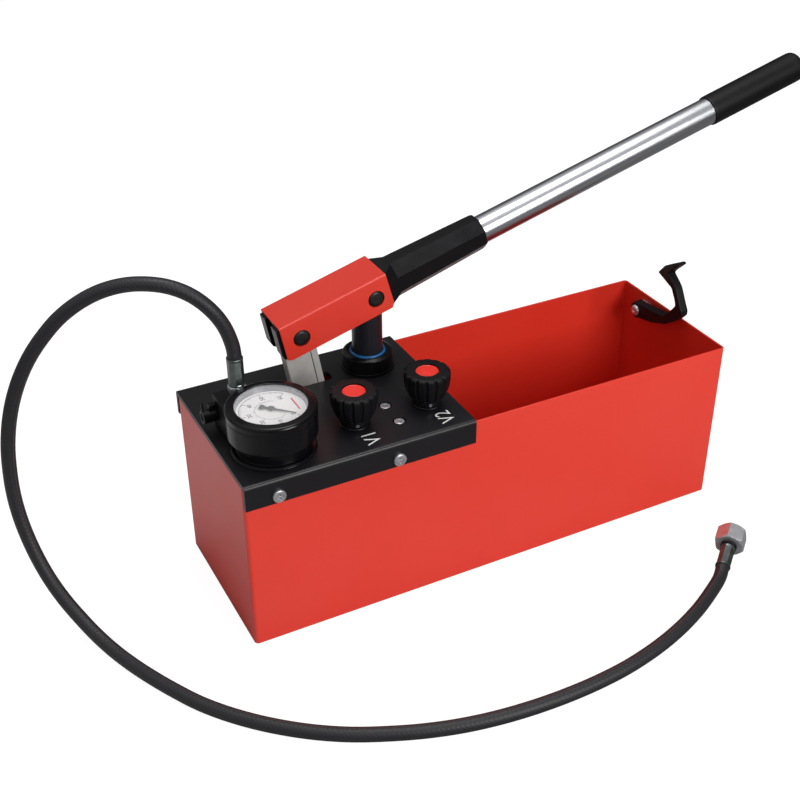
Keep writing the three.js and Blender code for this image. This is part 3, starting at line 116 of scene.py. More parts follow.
def feed(tree, node, inputs):
    """Links each input of the node to what is a socket, or sets it to a plain value."""
    for key, value in inputs.items():
        if isinstance(value, bpy.types.NodeSocket):
            tree.links.new(value, node.inputs[key])
        else:
            node.inputs[key].default_value = value


def add(tree, kind, inputs=None, **settings):
    """Adds a node of that kind, with its settings and its inputs."""
    node = tree.nodes.new(kind)
    for key, value in settings.items():
        setattr(node, key, value)
    feed(tree, node, inputs or {})
    return node


def finish(name, slot, roughness, metallic=0.0, **sockets):
    """A new material, its node tree and its surface shader, with the plain values set. The
    slot is not used."""
    material = bpy.data.materials.new(name)
    material.use_nodes = True
    surface = material.node_tree.nodes["Principled BSDF"]
    plain = {key.replace("_", " "): value for key, value in sockets.items()}
    feed(material.node_tree, surface, {"Roughness": roughness, "Metallic": metallic, **plain})
    return material, material.node_tree, surface


# %% [markdown]
# ## The hose's route
# The hose is the one free piece, so its route comes first. It is 1.26 m of stiff pressure
# hose: up from its port, over in an arch, down behind the tank's left end, and along the
# floor in front. The points are those of the CAD model, joined by a centripetal
# Catmull-Rom curve, whose spans grow with the square root of the points' distance.

# %% Hose route
HOSE_RADIUS = 0.0066
hose_points = np.array([
    (-0.2272, 0.0065, 0.2543), (-0.2272, 0.0065, 0.2575), (-0.2282, 0.0069, 0.2671),
    (-0.2337, 0.0086, 0.2864),
    (-0.2434, 0.0123, 0.3033), (-0.2568, 0.0194, 0.3168), (-0.2730, 0.0271, 0.3254),
    (-0.2913, 0.0350, 0.3292), (-0.3093, 0.0426, 0.3286), (-0.3279, 0.0499, 0.3235),
    (-0.3456, 0.0563, 0.3142), (-0.3623, 0.0619, 0.3013), (-0.3772, 0.0664, 0.2852),
    (-0.3910, 0.0703, 0.2666), (-0.4022, 0.0734, 0.2466), (-0.4117, 0.0750, 0.2248),
    (-0.4189, 0.0756, 0.2020), (-0.4241, 0.0745, 0.1785), (-0.4271, 0.0719, 0.1548),
    (-0.4285, 0.0678, 0.1316), (-0.4278, 0.0620, 0.1092), (-0.4252, 0.0540, 0.0876),
    (-0.4211, 0.0438, 0.0678), (-0.4156, 0.0316, 0.0502), (-0.4086, 0.0169, 0.0354),
    (-0.4002, -0.0006, 0.0234), (-0.3913, -0.0206, 0.0144), (-0.3816, -0.0426, 0.0089),
    (-0.3712, -0.0660, 0.0068), (-0.3600, -0.0900, 0.0067), (-0.3480, -0.1130, 0.0067),
    (-0.3345, -0.1360, 0.0067), (-0.3185, -0.1575, 0.0067), (-0.3000, -0.1780, 0.0067),
    (-0.2795, -0.1970, 0.0067), (-0.2570, -0.2145, 0.0067), (-0.2315, -0.2305, 0.0067),
    (-0.2040, -0.2438, 0.0067), (-0.1755, -0.2553, 0.0067), (-0.1460, -0.2644, 0.0067),
    (-0.1155, -0.2709, 0.0067), (-0.0830, -0.2751, 0.0067), (-0.0500, -0.2770, 0.0067),
    (-0.0140, -0.2766, 0.0067), (0.0230, -0.2732, 0.0067), (0.0610, -0.2656, 0.0067),
    (0.0960, -0.2550, 0.0067), (0.1280, -0.2418, 0.0067), (0.1550, -0.2276, 0.0067),
    (0.1764, -0.2146, 0.0072), (0.1863, -0.2063, 0.0097),
])


def route_through(points, per_span):
    """A centripetal Catmull-Rom curve: with knots t whose steps are the square roots of the
    distances, each span blends the lines through its four points in three rounds."""
    first, last = 2 * points[0] - points[1], 2 * points[-1] - points[-2]
    p = np.vstack([first, points, last])
    knots = np.r_[0, np.cumsum(np.sqrt(np.linalg.norm(np.diff(p, axis=0), axis=1)))]
    span = np.arange(len(points) - 1)
    t = knots[span + 1, None] + np.diff(knots)[span + 1, None] * np.arange(per_span) / per_span
    corner = [p[span + k][:, None] for k in range(4)]
    knot = [knots[span + k][:, None] for k in range(4)]

    def blend(a, b, i, j):
        w = ((t - knot[i]) / (knot[j] - knot[i]))[..., None]
        return a * (1 - w) + b * w

    low, mid, high = (blend(corner[k], corner[k + 1], k, k + 1) for k in range(3))
    curve = blend(blend(low, mid, 0, 2), blend(mid, high, 1, 3), 1, 2)
    return np.vstack([curve.reshape(-1, 3), points[-1:]])


hose_route = route_through(hose_points, 6)

# %% [markdown]
# ## Making surfaces
# Every new piece is a surface worked out with numpy. A shape is a grid of points, one
# direction along a profile or a path and the other around it. These helpers turn such a
# grid into a closed mesh, round the corners of a line of points, turn a profile about an
# axis, and raise a flat outline into a plate with rounded edges.

# %% Grid helpers
WELD_M = 2e-7
SHARP_DEG = 32
ROUND = 96
UPRIGHT = np.eye(3)


def angles(count):
    """Evenly spaced angles round a full turn, from zero."""
    return np.arange(count) / count * TURN


def where(node):
    """Lowest and highest corner of a CAD node at rest, in millimetres."""
    low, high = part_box(node)
    return np.array(low) / MM, np.array(high) / MM


def centre_of(node):
    """Middle of a CAD node's box, in millimetres."""
    low, high = where(node)
    return (low + high) / 2


def placed(points, centre, axes):
    """Local x, y and z carried along the three rows of axes, from centre."""
    return np.asarray(centre, float) + points @ np.asarray(axes, float)


def squares(rows, columns, closed):
    """Corner numbers of the squares between neighbouring grid points."""
    i, j = np.meshgrid(
        np.arange(rows - 1), np.arange(columns if closed else columns - 1), indexing="ij"
    )
    near, far = i * columns, (i + 1) * columns
    step = (j + 1) % columns
    return np.stack([near + j, near + step, far + step, far + j], -1).reshape(-1, 4)


def as_piece(name, mesh, material, body, sharp, cad):
    """Shows a mesh: smooth between faces that meet at less than the sharp angle, in its
    material, riding on a body. It stands for the CAD node that cad names, if any."""
    mesh.shade_smooth()
    mesh.set_sharp_from_angle(angle=math.radians(sharp))
    mesh.materials.append(material)
    piece = linked(name, mesh)
    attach(piece, body)
    if cad:
        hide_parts(cad)
    return piece


def even_out(piece):
    """Turns the normals towards the larger faces, and keeps the sharp edges."""
    piece.modifiers.new("even_normals", "WEIGHTED_NORMAL").keep_sharp = True


def break_edges(piece, width, angle):
    """Rounds the edges that turn by more than the angle, and evens the normals after it."""
    bevel = piece.modifiers.new("broken_edges", "BEVEL")
    bevel.width, bevel.segments = width * MM, 2
    bevel.limit_method, bevel.angle_limit = "ANGLE", math.radians(angle)
    even_out(piece)


def solid(name, points, faces, material, body="pump", sharp=SHARP_DEG, uv=None, even=True,
          cad=None):
    """A mesh of points in millimetres, with doubles merged and faces turned outwards."""
    mesh = bpy.data.meshes.new(name)
    mesh.from_pydata((np.asarray(points) * MM).tolist(), [], faces)
    if uv is not None:
        layer = mesh.uv_layers.new(name="lengths")
        values = np.zeros((len(mesh.loops), 2), np.float32)
        values[: len(uv)] = uv
        layer.data.foreach_set("uv", values.ravel())
    work = bmesh.new()
    work.from_mesh(mesh)
    bmesh.ops.remove_doubles(work, verts=work.verts, dist=WELD_M)
    bmesh.ops.recalc_face_normals(work, faces=work.faces)
    work.to_mesh(mesh)
    work.free()
    piece = as_piece(name, mesh, material, body, sharp, cad)
    if even:
        even_out(piece)
    return piece


def skin(name, grid, material, body="pump", ends=(False, False), lengths=None, **options):
    """A closed tube of rows of points. An open end is filled where ends says so. lengths
    gives each row's distance along the piece, in metres, for a pattern that follows it."""
    rows, columns = grid.shape[:2]
    faces = squares(rows, columns, True)
    uv = None
    if lengths is not None:
        i, j = np.divmod(np.arange(len(faces)), columns)
        around = np.stack([j, j + 1, j + 1, j], -1) / columns
        along = np.asarray(lengths)[np.stack([i, i, i + 1, i + 1], -1)]
        uv = np.stack([along, around], -1).reshape(-1, 2)
    faces = faces.tolist()
    if ends[0]:
        faces.append(list(range(columns)))
    if ends[1]:
        faces.append(list(range((rows - 1) * columns, rows * columns)))
    return solid(name, grid.reshape(-1, 3), faces, material, body, uv=uv, **options)


def eased(points, reach, steps=4, closed=False):
    """Rounds the corners of a line: corner P becomes (1-t)^2 A + 2t(1-t) P + t^2 B, where A
    and B lie reach before and after it, or half a side away where that is less."""
    points = np.asarray(points, float)
    reach = np.broadcast_to(np.asarray(reach, float).reshape(-1, 1), (len(points), 1))
    ends = []
    for shift in (1, -1):
        way = np.roll(points, shift, 0) - points
        length = np.linalg.norm(way, axis=1, keepdims=True) + 1e-12
        ends.append(points + way / length * np.minimum(reach, length / 2))
    t = np.linspace(0, 1, steps + 1)[:, None, None]
    curve = (1 - t) ** 2 * ends[0] + 2 * t * (1 - t) * points + t ** 2 * ends[1]
    curve = curve.transpose(1, 0, 2)
    if closed:
        return curve.reshape(-1, points.shape[1])
    inner = curve[1:-1].reshape(-1, points.shape[1])
    return np.vstack([points[:1], inner, points[-1:]])


def turned_grid(radius, height, sides):
    """Points at (r cos a, r sin a, h). Radius and height are one value a row, or a value
    for each row and angle."""
    angle = angles(sides)
    radius = np.asarray(radius, float)
    radius = radius[:, None] if radius.ndim == 1 else radius
    height = np.asarray(height, float)
    height = height[:, None] if height.ndim == 1 else height
    shape = np.broadcast_shapes(radius.shape, height.shape, (1, sides))
    x, y = radius * np.cos(angle), radius * np.sin(angle)
    return np.stack([np.broadcast_to(c, shape) for c in (x, y, height)], -1)


def turned(name, radius, height, centre, material, body="pump", axes=UPRIGHT, sides=72,
           loop=False, **options):
    """Rows of radius and height turned about the third axis through centre. With loop, the
    first row comes again at the end, so that the section closes on itself."""
    if loop:
        radius, height = np.concatenate([radius, radius[:1]]), np.r_[height, height[0]]
    grid = turned_grid(radius, height, sides)
    return skin(name, placed(grid, centre, axes), material, body, **options)


def lathe(name, profile, centre, material, body="pump", **options):
    """A profile of [radius, height] points, turned."""
    radius, height = np.asarray(profile, float).T
    return turned(name, radius, height, centre, material, body, **options)


def circle(x, y, radius, count=40):
    """Points round a circle in the plane."""
    angle = angles(count)
    return np.stack([x + radius * np.cos(angle), y + radius * np.sin(angle)], -1)


def swept(section, along):
    """A flat section carried along a row of places: x is the place, y and z the section's."""
    shape = (len(section), len(along))
    parts = (along, section[:, :1], section[:, 1:])
    return np.stack([np.broadcast_to(part, shape) for part in parts], -1)


def outward(line):
    """At each point of a closed line, the direction square to both of its sides: the sum of
    the two sides' right-hand normals over one plus their dot product."""
    way = np.roll(line, -1, 0) - line
    way /= np.linalg.norm(way, axis=1, keepdims=True)
    after = np.stack([way[:, 1], -way[:, 0]], -1)
    before = np.roll(after, 1, 0)
    lean = np.maximum(1 + (before * after).sum(1, keepdims=True), 0.3)
    return (before + after) / lean


def wound(line, left):
    """The closed line run so that its inside is on the left, or on the right, without
    points that lie on their neighbour."""
    line = np.asarray(line, float)
    line = line[np.linalg.norm(line - np.roll(line, 1, 0), axis=1) > 1e-5]
    x, y = line.T
    area = (x * np.roll(y, -1) - y * np.roll(x, -1)).sum()
    return line if (area > 0) == left else line[::-1]


def filled(loops, numbers):
    """Triangles between an outline and its holes, as the given corner numbers."""
    lines = [[Vector((x, y, 0)) for x, y in loop] for loop in loops]
    numbers = np.concatenate(numbers)
    return [[int(numbers[k]) for k in triple] for triple in tessellate_polygon(lines)]


def plate(name, outlines, low, high, ease, material, body="pump", centre=(0, 0, 0),
          axes=UPRIGHT, steps=3, **options):
    """A flat outline, with holes after it, raised from low to high. Its edges are quarter
    rounds: at angle a the line is drawn in by ease (1 - sin a) and up by ease (1 - cos a)."""
    a = np.linspace(0, math.pi / 2, steps + 1)
    inset, rise = ease * (1 - np.sin(a)), ease * (1 - np.cos(a))
    inset = np.r_[inset, inset[::-1]]
    height = np.r_[low + rise, (high - rise)[::-1]]
    points, faces, floors, roofs, loops, start = [], [], [], [], [], 0
    for number, line in enumerate(outlines):
        line = wound(line, number == 0)
        ring = line - inset[:, None, None] * outward(line)
        level = np.broadcast_to(height[:, None, None], (*ring.shape[:2], 1))
        points.append(np.concatenate([ring, level], -1).reshape(-1, 3))
        faces += (squares(len(height), len(line), True) + start).tolist()
        floors.append(start + np.arange(len(line)))
        roofs.append(floors[-1] + (len(height) - 1) * len(line))
        loops.append(ring[0])
        start += len(height) * len(line)
    faces += filled(loops, floors) + filled(loops, roofs)
    return solid(name, placed(np.vstack(points), centre, axes), faces, material, body, **options)


# %% [markdown]
# ## Folded sheet
# The cover and the lever's channel are bent from sheet metal. Their outer face is built as
# flat panels, which may have holes, and bent strips that share the panels' edge points.
# Solidify then gives the sheet its thickness inwards, and Bevel breaks its cut edges.

# %% Sheet helper
def folded(name, panels, strips, thickness, edge, material, body, outside, cad):
    """Panels are (loops, mapping) pairs, where mapping puts the flat points in space, and
    strips are open grids. outside is a point outside the sheet, to turn the faces to."""
    points, faces, start = [], [], 0
    for loops, mapping in panels:
        loops = [wound(loop, k == 0) for k, loop in enumerate(loops)]
        count = sum(len(loop) for loop in loops)
        faces += filled(loops, [np.arange(start, start + count)])
        points.append(mapping(np.vstack(loops)))
        start += count
    for grid in strips:
        faces += (squares(*grid.shape[:2], False) + start).tolist()
        points.append(grid.reshape(-1, 3))
        start += grid.shape[0] * grid.shape[1]
    piece = solid(name, np.vstack(points), faces, material, body, even=False,
                  cad=cad)
    work = bmesh.new()
    work.from_mesh(piece.data)
    target = Vector(outside) * MM
    nearest = min(work.faces, key=lambda f: (f.calc_center_median() - target).length)
    if nearest.normal.dot(target - nearest.calc_center_median()) < 0:
        bmesh.ops.reverse_faces(work, faces=work.faces)
    work.to_mesh(piece.data)
    work.free()
    wall = piece.modifiers.new("sheet", "SOLIDIFY")
    wall.thickness = thickness * MM
    wall.offset = -1
    wall.use_even_offset = True
    break_edges(piece, edge, 40)
    return piece


# %% [markdown]
# ## Finishes
# Most finishes here are one idea in different sizes: a colour that drifts between two
# close tones in patches, a gloss that drifts with it, and a fine grain that bends the
# light. One recipe builds that from real sizes in millimetres, and each call says what the
# real surface is. Grain finer than about 0.4 mm doesn't show at this picture's scale, so
# it is drawn that coarse.

# %% Recipe for a mottled finish
def mottled(name, slot, tones, rough, metallic, patch_mm, grain_mm, depth_mm, **sockets):
    """Colour and roughness follow noise with patches of patch_mm, and the normal follows
    noise with grains of grain_mm, depth_mm high."""
    material, tree, surface = finish(name, slot, rough[0], metallic, **sockets)
    place = add(tree, "ShaderNodeTexCoord").outputs["Object"]
    patch = add(tree, "ShaderNodeTexNoise", {
        "Vector": place, "Scale": 1 / (patch_mm * MM), "Detail": 3.0})
    tint = add(tree, "ShaderNodeMix", {
        0: patch.outputs["Fac"], 6: linear(tones[0]), 7: linear(tones[1])}, data_type="RGBA")
    gloss = add(tree, "ShaderNodeMapRange", {
        "Value": patch.outputs["Fac"], "From Min": 0.3, "From Max": 0.7,
        "To Min": rough[0], "To Max": rough[1]})
    grain = add(tree, "ShaderNodeTexNoise", {
        "Vector": place, "Scale": 1 / (grain_mm * MM), "Detail": 2.0})
    bump = add(tree, "ShaderNodeBump", {
        "Height": grain.outputs["Fac"], "Distance": depth_mm * MM})
    feed(tree, surface, {"Base Color": tint.outputs[2], "Roughness": gloss.outputs["Result"],
                         "Normal": bump.outputs["Normal"]})
    return material


# %% [markdown]
# ## Paint, plastic and rubber
# Tank and channel are powder-coated: dry paint baked onto the sheet flows into a satin
# skin with a faint orange-peel ripple of about 1.5 mm. The cover has a satin black enamel,
# the gauge case is moulded ABS, and the knobs are glass-filled nylon, which comes out of
# the mould nearly matt. These are all dielectrics with an IOR near 1.5.

# %% Paint, plastic and rubber
red_coat = mottled("red_powder_coat", "red_paint", ("DA3323", "E03A2A"),
                   (0.33, 0.39), 0.0, 110, 1.5, 0.012)
cover_enamel = mottled("black_satin_enamel", "cover_enamel", ("121114", "18171A"),
                       (0.34, 0.42), 0.0, 60, 0.8, 0.006, Specular_IOR_Level=0.35)
gauge_abs = mottled("black_moulded_abs", "gauge_black", ("08070A", "0C0B0E"),
                    (0.2, 0.26), 0.0, 30, 0.6, 0.002, Specular_IOR_Level=0.25)
block_abs = mottled("black_nylon_block", "black_plastic", ("09080B", "0E0D10"),
                    (0.42, 0.5), 0.0, 20, 0.5, 0.012, Specular_IOR_Level=0.2)
knob_nylon = mottled("black_glass_filled_nylon", "knob_plastic", ("08070A", "0E0D10"),
                     (0.46, 0.56), 0.0, 18, 0.4, 0.018, Specular_IOR_Level=0.2)
cap_gloss = mottled("red_polycarbonate_cap", "cap_red", ("E5342C", "EC4036"),
                    (0.22, 0.28), 0.0, 8, 0.5, 0.003)
grip_vinyl = mottled("black_dipped_vinyl", "grip_black", ("09090B", "0D0D0F"),
                     (0.42, 0.54), 0.0, 35, 0.7, 0.012, Specular_IOR_Level=0.2)
# This black is the seals' rubber, and it is also used as the painted shade of the groove on the
# link.
rubber_and_shade_black = mottled("black_rubber_and_painted_shade", "seal_black", ("121214", "19191B"),
                      (0.5, 0.6), 0.0, 10, 0.5, 0.006)
wiper_blue = mottled("blue_polyurethane_wiper", "seal_blue", ("1F5F98", "2F74B0"),
                     (0.28, 0.36), 0.0, 12, 0.5, 0.004)
dial_enamel = mottled("white_dial_enamel", "dial_white", ("F4F0F0", "F8F5F4"),
                      (0.5, 0.56), 0.0, 25, 0.5, 0.002)
white_ink = mottled("white_screen_ink", "dial_white", ("DAD9D8", "E4E3E2"),
                    (0.5, 0.6), 0.0, 6, 0.4, 0.004)
black_ink = mottled("black_dial_ink", "pointer_black", ("202023", "2A2A2D"),
                    (0.5, 0.6), 0.0, 6, 0.4, 0.002)
red_ink = mottled("red_dial_ink", "cap_red", ("D2263A", "DC3046"),
                  (0.5, 0.6), 0.0, 6, 0.4, 0.002)
print("plastics and paints:", len(bpy.data.materials))

# %% [markdown]
# ## Metals
# Zinc plate on screws and nut has a cold, slightly blotchy shine. Gland, washer, socket
# and pins are blackened steel, whose thin oxide is glossy where it was machined. The link
# is a grey casting with the grain of its sand mould. Metals keep the default IOR.

# %% Metals
zinc = mottled("bright_zinc_plate", "zinc", ("B9BABF", "DADBDF"),
               (0.34, 0.46), 0.9, 5, 0.5, 0.002)
ferrule_zinc = mottled("yellowed_zinc_ferrule", "ferrule_zinc", ("4C5251", "737B79"),
                       (0.26, 0.4), 0.9, 7, 0.6, 0.006)
black_steel = mottled("blackened_machined_steel", "black_steel", ("0B0A0D", "121114"),
                      (0.26, 0.36), 0.2, 14, 0.6, 0.003, Specular_IOR_Level=0.3)
worn_steel = mottled("worn_blackened_pin_head", "black_steel", ("0D0D0F", "2B2A28"),
                     (0.34, 0.5), 0.3, 3.2, 0.6, 0.02)
plunger_steel = mottled("dark_hard_coated_steel", "plunger_steel", ("26252B", "34333A"),
                        (0.28, 0.36), 0.45, 30, 0.5, 0.003)
cast_iron = mottled("grey_casting", "cast_grey", ("B5B1AC", "CFCBC6"),
                    (0.42, 0.55), 0.2, 9, 0.7, 0.03)
machined_steel = mottled("machined_steel", "steel", ("86868B", "A8A8AC"),
                         (0.28, 0.4), 1.0, 12, 0.5, 0.004)
brass = mottled("turned_brass", "brass", ("A9843A", "C29C4C"),
                (0.28, 0.38), 1.0, 12, 0.5, 0.004)
silver_ring = mottled("silvered_dial_surround", "dial_white", ("8E8E92", "A6A6AA"),
                      (0.2, 0.24), 0.7, 30, 0.5, 0.0002)
print("metals ready:", zinc.name, black_steel.name, cast_iron.name)

# %% [markdown]
# ## The lever's drawn tube
# The tube is drawn steel with a zinc coat. Drawing leaves fine lines along it, and the coat
# shows them as long soft streaks of light and dark. The tube's own UV map gives the place
# along it in metres and the share around it, so a noise stretched along the tube is a
# streak. It is about 0.45 m long and 88 mm round, and a streak is 1 to 3 mm wide.

# %% Drawn tube
tube_zinc, tree, surface = finish("drawn_zinc_coated_tube", "tube_zinc", 0.24, 1.0)
route = add(tree, "ShaderNodeUVMap", uv_map="lengths").outputs["UV"]
stretched = add(tree, "ShaderNodeMapping", {"Vector": route, "Scale": (6.0, 34.0, 1.0)})
streak = add(tree, "ShaderNodeTexNoise", {
    "Vector": stretched.outputs["Vector"], "Scale": 1.0, "Detail": 5.0, "Roughness": 0.65})
tone = add(tree, "ShaderNodeValToRGB", {"Fac": streak.outputs["Fac"]})
for stop, place, code in zip(tone.color_ramp.elements, (0.32, 0.62), ("A1A2A6", "C9CACE")):
    stop.position, stop.color = place, linear(code)
blotch = add(tree, "ShaderNodeTexNoise", {
    "Vector": add(tree, "ShaderNodeTexCoord").outputs["Object"], "Scale": 160.0, "Detail": 4.0})
gloss = add(tree, "ShaderNodeMapRange", {
    "Value": blotch.outputs["Fac"], "From Min": 0.3, "From Max": 0.7,
    "To Min": 0.29, "To Max": 0.31})
line = add(tree, "ShaderNodeBump", {"Height": streak.outputs["Fac"], "Distance": 0.00001})
feed(tree, surface, {"Base Color": tone.outputs["Color"], "Roughness": gloss.outputs["Result"],
                     "Normal": line.outputs["Normal"]})
print("tube streaks ready")

# %% [markdown]
# ## Hose cover and glass
# The hose is cured wrapped in wet cloth, so its rubber keeps the cloth's weave, drawn as
# ridges about 3 mm apart, at 45 degrees to its length. It is 13 mm thick, so its UV square
# is scaled to real lengths first. A moulded line runs along it. The gauge's window is clear
# plastic; light has to get through it to the dial, so it is mostly see-through by alpha.

# %% Hose rubber and window
hose_rubber, tree, surface = finish("cloth_wrapped_rubber", "hose_rubber", 0.5,
                                    Specular_IOR_Level=0.4)
route = add(tree, "ShaderNodeUVMap", uv_map="lengths").outputs["UV"]
threads = []
for slope in (1, -1):
    weave = add(tree, "ShaderNodeMapping", {
        "Vector": route, "Scale": (1.0, slope * TURN * HOSE_RADIUS, 1.0)})
    threads.append(add(tree, "ShaderNodeTexWave", {
        "Vector": weave.outputs["Vector"], "Scale": 150.0}, bands_direction="DIAGONAL"))
cloth = add(tree, "ShaderNodeMath", {
    0: threads[0].outputs["Fac"], 1: threads[1].outputs["Fac"]}, operation="MAXIMUM")
split = add(tree, "ShaderNodeSeparateXYZ", {"Vector": route})
near_line = add(tree, "ShaderNodeMath", {
    0: split.outputs["Y"], 1: 0.30, 2: 0.012}, operation="COMPARE")
height = add(tree, "ShaderNodeMath", {
    0: near_line.outputs["Value"], 1: 2.0, 2: cloth.outputs["Value"]}, operation="MULTIPLY_ADD")
bump = add(tree, "ShaderNodeBump", {"Height": height.outputs["Value"], "Distance": 0.00012})
drift = add(tree, "ShaderNodeTexNoise", {"Vector": route, "Scale": 25.0, "Detail": 3.0})
black = add(tree, "ShaderNodeMix", {
    0: drift.outputs["Fac"], 6: linear("17171A"), 7: linear("242427")}, data_type="RGBA")
lined = add(tree, "ShaderNodeMix", {
    0: near_line.outputs["Value"], 6: black.outputs[2], 7: linear("3A3A3D")},
    data_type="RGBA")
feed(tree, surface, {"Base Color": lined.outputs[2], "Normal": bump.outputs["Normal"]})

window, tree, surface = finish("clear_polycarbonate_window", "lens", 0.03, Alpha=0.13,
                               IOR=1.58)
haze = add(tree, "ShaderNodeTexNoise", {
    "Vector": add(tree, "ShaderNodeTexCoord").outputs["Object"], "Scale": 60.0})
smear = add(tree, "ShaderNodeMapRange", {
    "Value": haze.outputs["Fac"], "To Min": 0.02, "To Max": 0.06})
feed(tree, surface, {"Base Color": linear("F4F6F8"), "Roughness": smear.outputs["Result"]})
print("materials in all:", len(bpy.data.materials))

# %% [markdown]
# ## Hose
# A circle carried along the route. The frame that carries it is passed on from point to
# point: the sideways direction loses only its part along the new heading, so the tube
# never twists. The UV map holds the length along the hose.

# %% Hose
heading = np.gradient(hose_route, axis=0)
heading /= np.linalg.norm(heading, axis=1, keepdims=True)
sideways = np.zeros_like(heading)
sideways[0] = (0, 1, 0)
for k in range(1, len(heading)):
    carried = sideways[k - 1] - heading[k] * (sideways[k - 1] @ heading[k])
    sideways[k] = carried / np.linalg.norm(carried)
upways = np.cross(heading, sideways)
angle = angles(32)[:, None]
rings = (hose_route[:, None] + HOSE_RADIUS * (
    np.cos(angle) * sideways[:, None] + np.sin(angle) * upways[:, None])) / MM
hose_distance = np.r_[0, np.cumsum(np.linalg.norm(np.diff(hose_route, axis=0), axis=1))]
hose = skin("hose_tube", rings, hose_rubber, ends=(True, True),
            lengths=hose_distance, even=False, cad="hose")
print("hose faces:", len(hose.data.polygons))

# %% [markdown]
# ## Crimped ferrules
# A ferrule is a steel sleeve squeezed onto the hose by eight dies. Between its plain ends,
# its radius at an angle is the smaller of the sleeve's and the distance to the nearest
# flat, d / cos(angle from the flat's middle). The share of that shape fades in and out.

# %% Ferrules
DIES = 8


def ferrule(name, low, high, bore, centre, axes, **options):
    """A sleeve from low to high, crimped over its middle."""
    radius, flat, lip = 7.6, 6.95, 1.1
    z = np.r_[low, low + 0.3, low + lip, low + 2 * lip, high - 2.6 * lip, high - 1.6 * lip,
              high - lip, high - 0.3, high, high, low]
    r = np.r_[radius - 0.5, radius - 0.1, radius, radius, radius, radius,
              radius + 0.12, radius, radius - 0.5, bore, bore]
    share = np.r_[0, 0, 0, 1, 1, 0, 0, 0, 0, 0, 0][:, None]
    pitch = TURN / DIES
    off = (angles(ROUND) + pitch / 2) % pitch - pitch / 2
    pressed = np.minimum(r[:, None], flat / np.cos(off))
    r = r[:, None] * (1 - share) + pressed * share
    return turned(name, r, z, centre, ferrule_zinc, axes=axes, sides=ROUND, loop=True,
                  sharp=18, **options)


low, high = where("port_ferrule")
port = (low + high)[:2] / 2
ferrule("port_ferrule_sleeve", low[2], high[2], 6.5, (*port, 0), UPRIGHT,
        cad="port_ferrule")
hose_tip = hose_points[-1] / MM
tip_way = hose_points[-1] - hose_points[-2]
tip_way /= np.linalg.norm(tip_way)
tip_turn = Vector((0, 0, 1)).rotation_difference(Vector(tip_way)).to_matrix()
tip_axes = np.array(tip_turn.transposed())
end_ferrule = ferrule("hose_end_sleeve", 0.3, 26.3, 6.5, hose_tip, tip_axes,
                      cad="hose_end_ferrule")
print("port at", port, "hose tip heads", tip_way.round(3))

# %% [markdown]
# ## Swivel nut and tail
# The nut is a hexagon turned to a cone at both ends. Its radius at an angle is the smaller
# of the hexagon's, half the flats / cos(angle from the flat), and the cone's at that
# height, which draws the curved chamfer lines by itself. The bore has a real thread: its
# radius falls and rises with the height plus a pitch for each turn.

# %% Nut and tail
HALF_FLATS, NUT_LOW, NUT_HIGH = 13.5, 29.5, 49.0
FACE_RADIUS, CHAMFER, PITCH = 13.0, 1.6, 1.8


def hexagon(half_flats):
    """Radius of a hexagon at evenly spaced angles, with a flat at angle zero."""
    return half_flats / np.cos((angles(ROUND) + TURN / 12) % (TURN / 6) - TURN / 12)


rise = np.array([0, 0.35, 0.7, 1.05, 1.4, 1.8])
outer_z = np.r_[NUT_LOW + rise, NUT_HIGH - rise[::-1]]
slope = (HALF_FLATS / math.cos(TURN / 12) - FACE_RADIUS) / CHAMFER
cone = FACE_RADIUS + slope * np.minimum(outer_z - NUT_LOW, NUT_HIGH - outer_z)
outer = np.minimum(hexagon(HALF_FLATS), cone[:, None])
thread_z = np.arange(NUT_HIGH - 1.0, 34.5, -0.3)
tooth = np.abs((thread_z[:, None] / PITCH + angles(ROUND) / TURN) % 1 - 0.5) * 2
thread = 9.35 - 0.7 * tooth
inner_z = np.r_[NUT_HIGH, NUT_HIGH - 0.7]
inner = np.repeat([[9.9], [9.4]], ROUND, 1)
deep_z = np.r_[34.2, 33.1, 33.1, NUT_LOW]
deep = np.repeat([[9.4], [9.4], [7.1], [7.1]], ROUND, 1)
nut = turned("swivel_hex_nut", np.vstack([outer, inner, thread, deep]),
             np.r_[outer_z, inner_z, thread_z, deep_z], hose_tip, zinc, "swivel_nut",
             axes=tip_axes, sides=ROUND, loop=True, sharp=25, cad="swivel_nut")
tail_line = eased([
    [1.8, 0.6], [3.2, 0.6], [3.2, 26.6], [8.2, 26.6], [8.2, 29.2], [6.8, 29.2], [6.8, 33.4],
    [9.0, 33.4], [9.0, 35.0], [6.8, 36.4], [1.8, 36.4], [1.8, 0.6],
], 0.45)
tail = lathe("hose_tail", tail_line, hose_tip, black_steel, axes=tip_axes,
             cad="hose_end_tail")
print("nut faces:", len(nut.data.polygons))

# %% [markdown]
# ## Port adapter
# A short hexagon between the outlet block and the ferrule, chamfered like the nut.

# %% Port adapter
low, high = where("hose_port_adapter")
hex_low, hex_high = where("outlet_block")[1][2] + 0.3, where("port_ferrule")[0][2] - 0.3
z = np.r_[hex_low, hex_low + 0.5, hex_low + 1.0, hex_high - 1.0, hex_high - 0.5, hex_high]
cone = 7.2 + 1.7 * np.minimum(z - hex_low, hex_high - z)
neck = np.repeat([[3.2], [3.2], [1.8], [1.8], [3.7], [3.7]], ROUND, 1)
turned("port_hex_adapter", np.vstack([np.minimum(hexagon(7.5), cone[:, None]), neck]),
       np.r_[z, hex_high, high[2], high[2], low[2], low[2], hex_low], (*port, 0), zinc,
       sides=ROUND, loop=True, cad="hose_port_adapter")

# %% [markdown]
# ## Tank
# A box of 2 mm sheet, folded and welded, open on top. Its plan is a rectangle with round
# corners. A profile is carried round that plan: over the floor, up the inner wall, over
# the rim, down the outer wall and under the floor, each point drawn in from the outside by
# its own inset. The rim's edges are broken with a small radius, which catches the light.

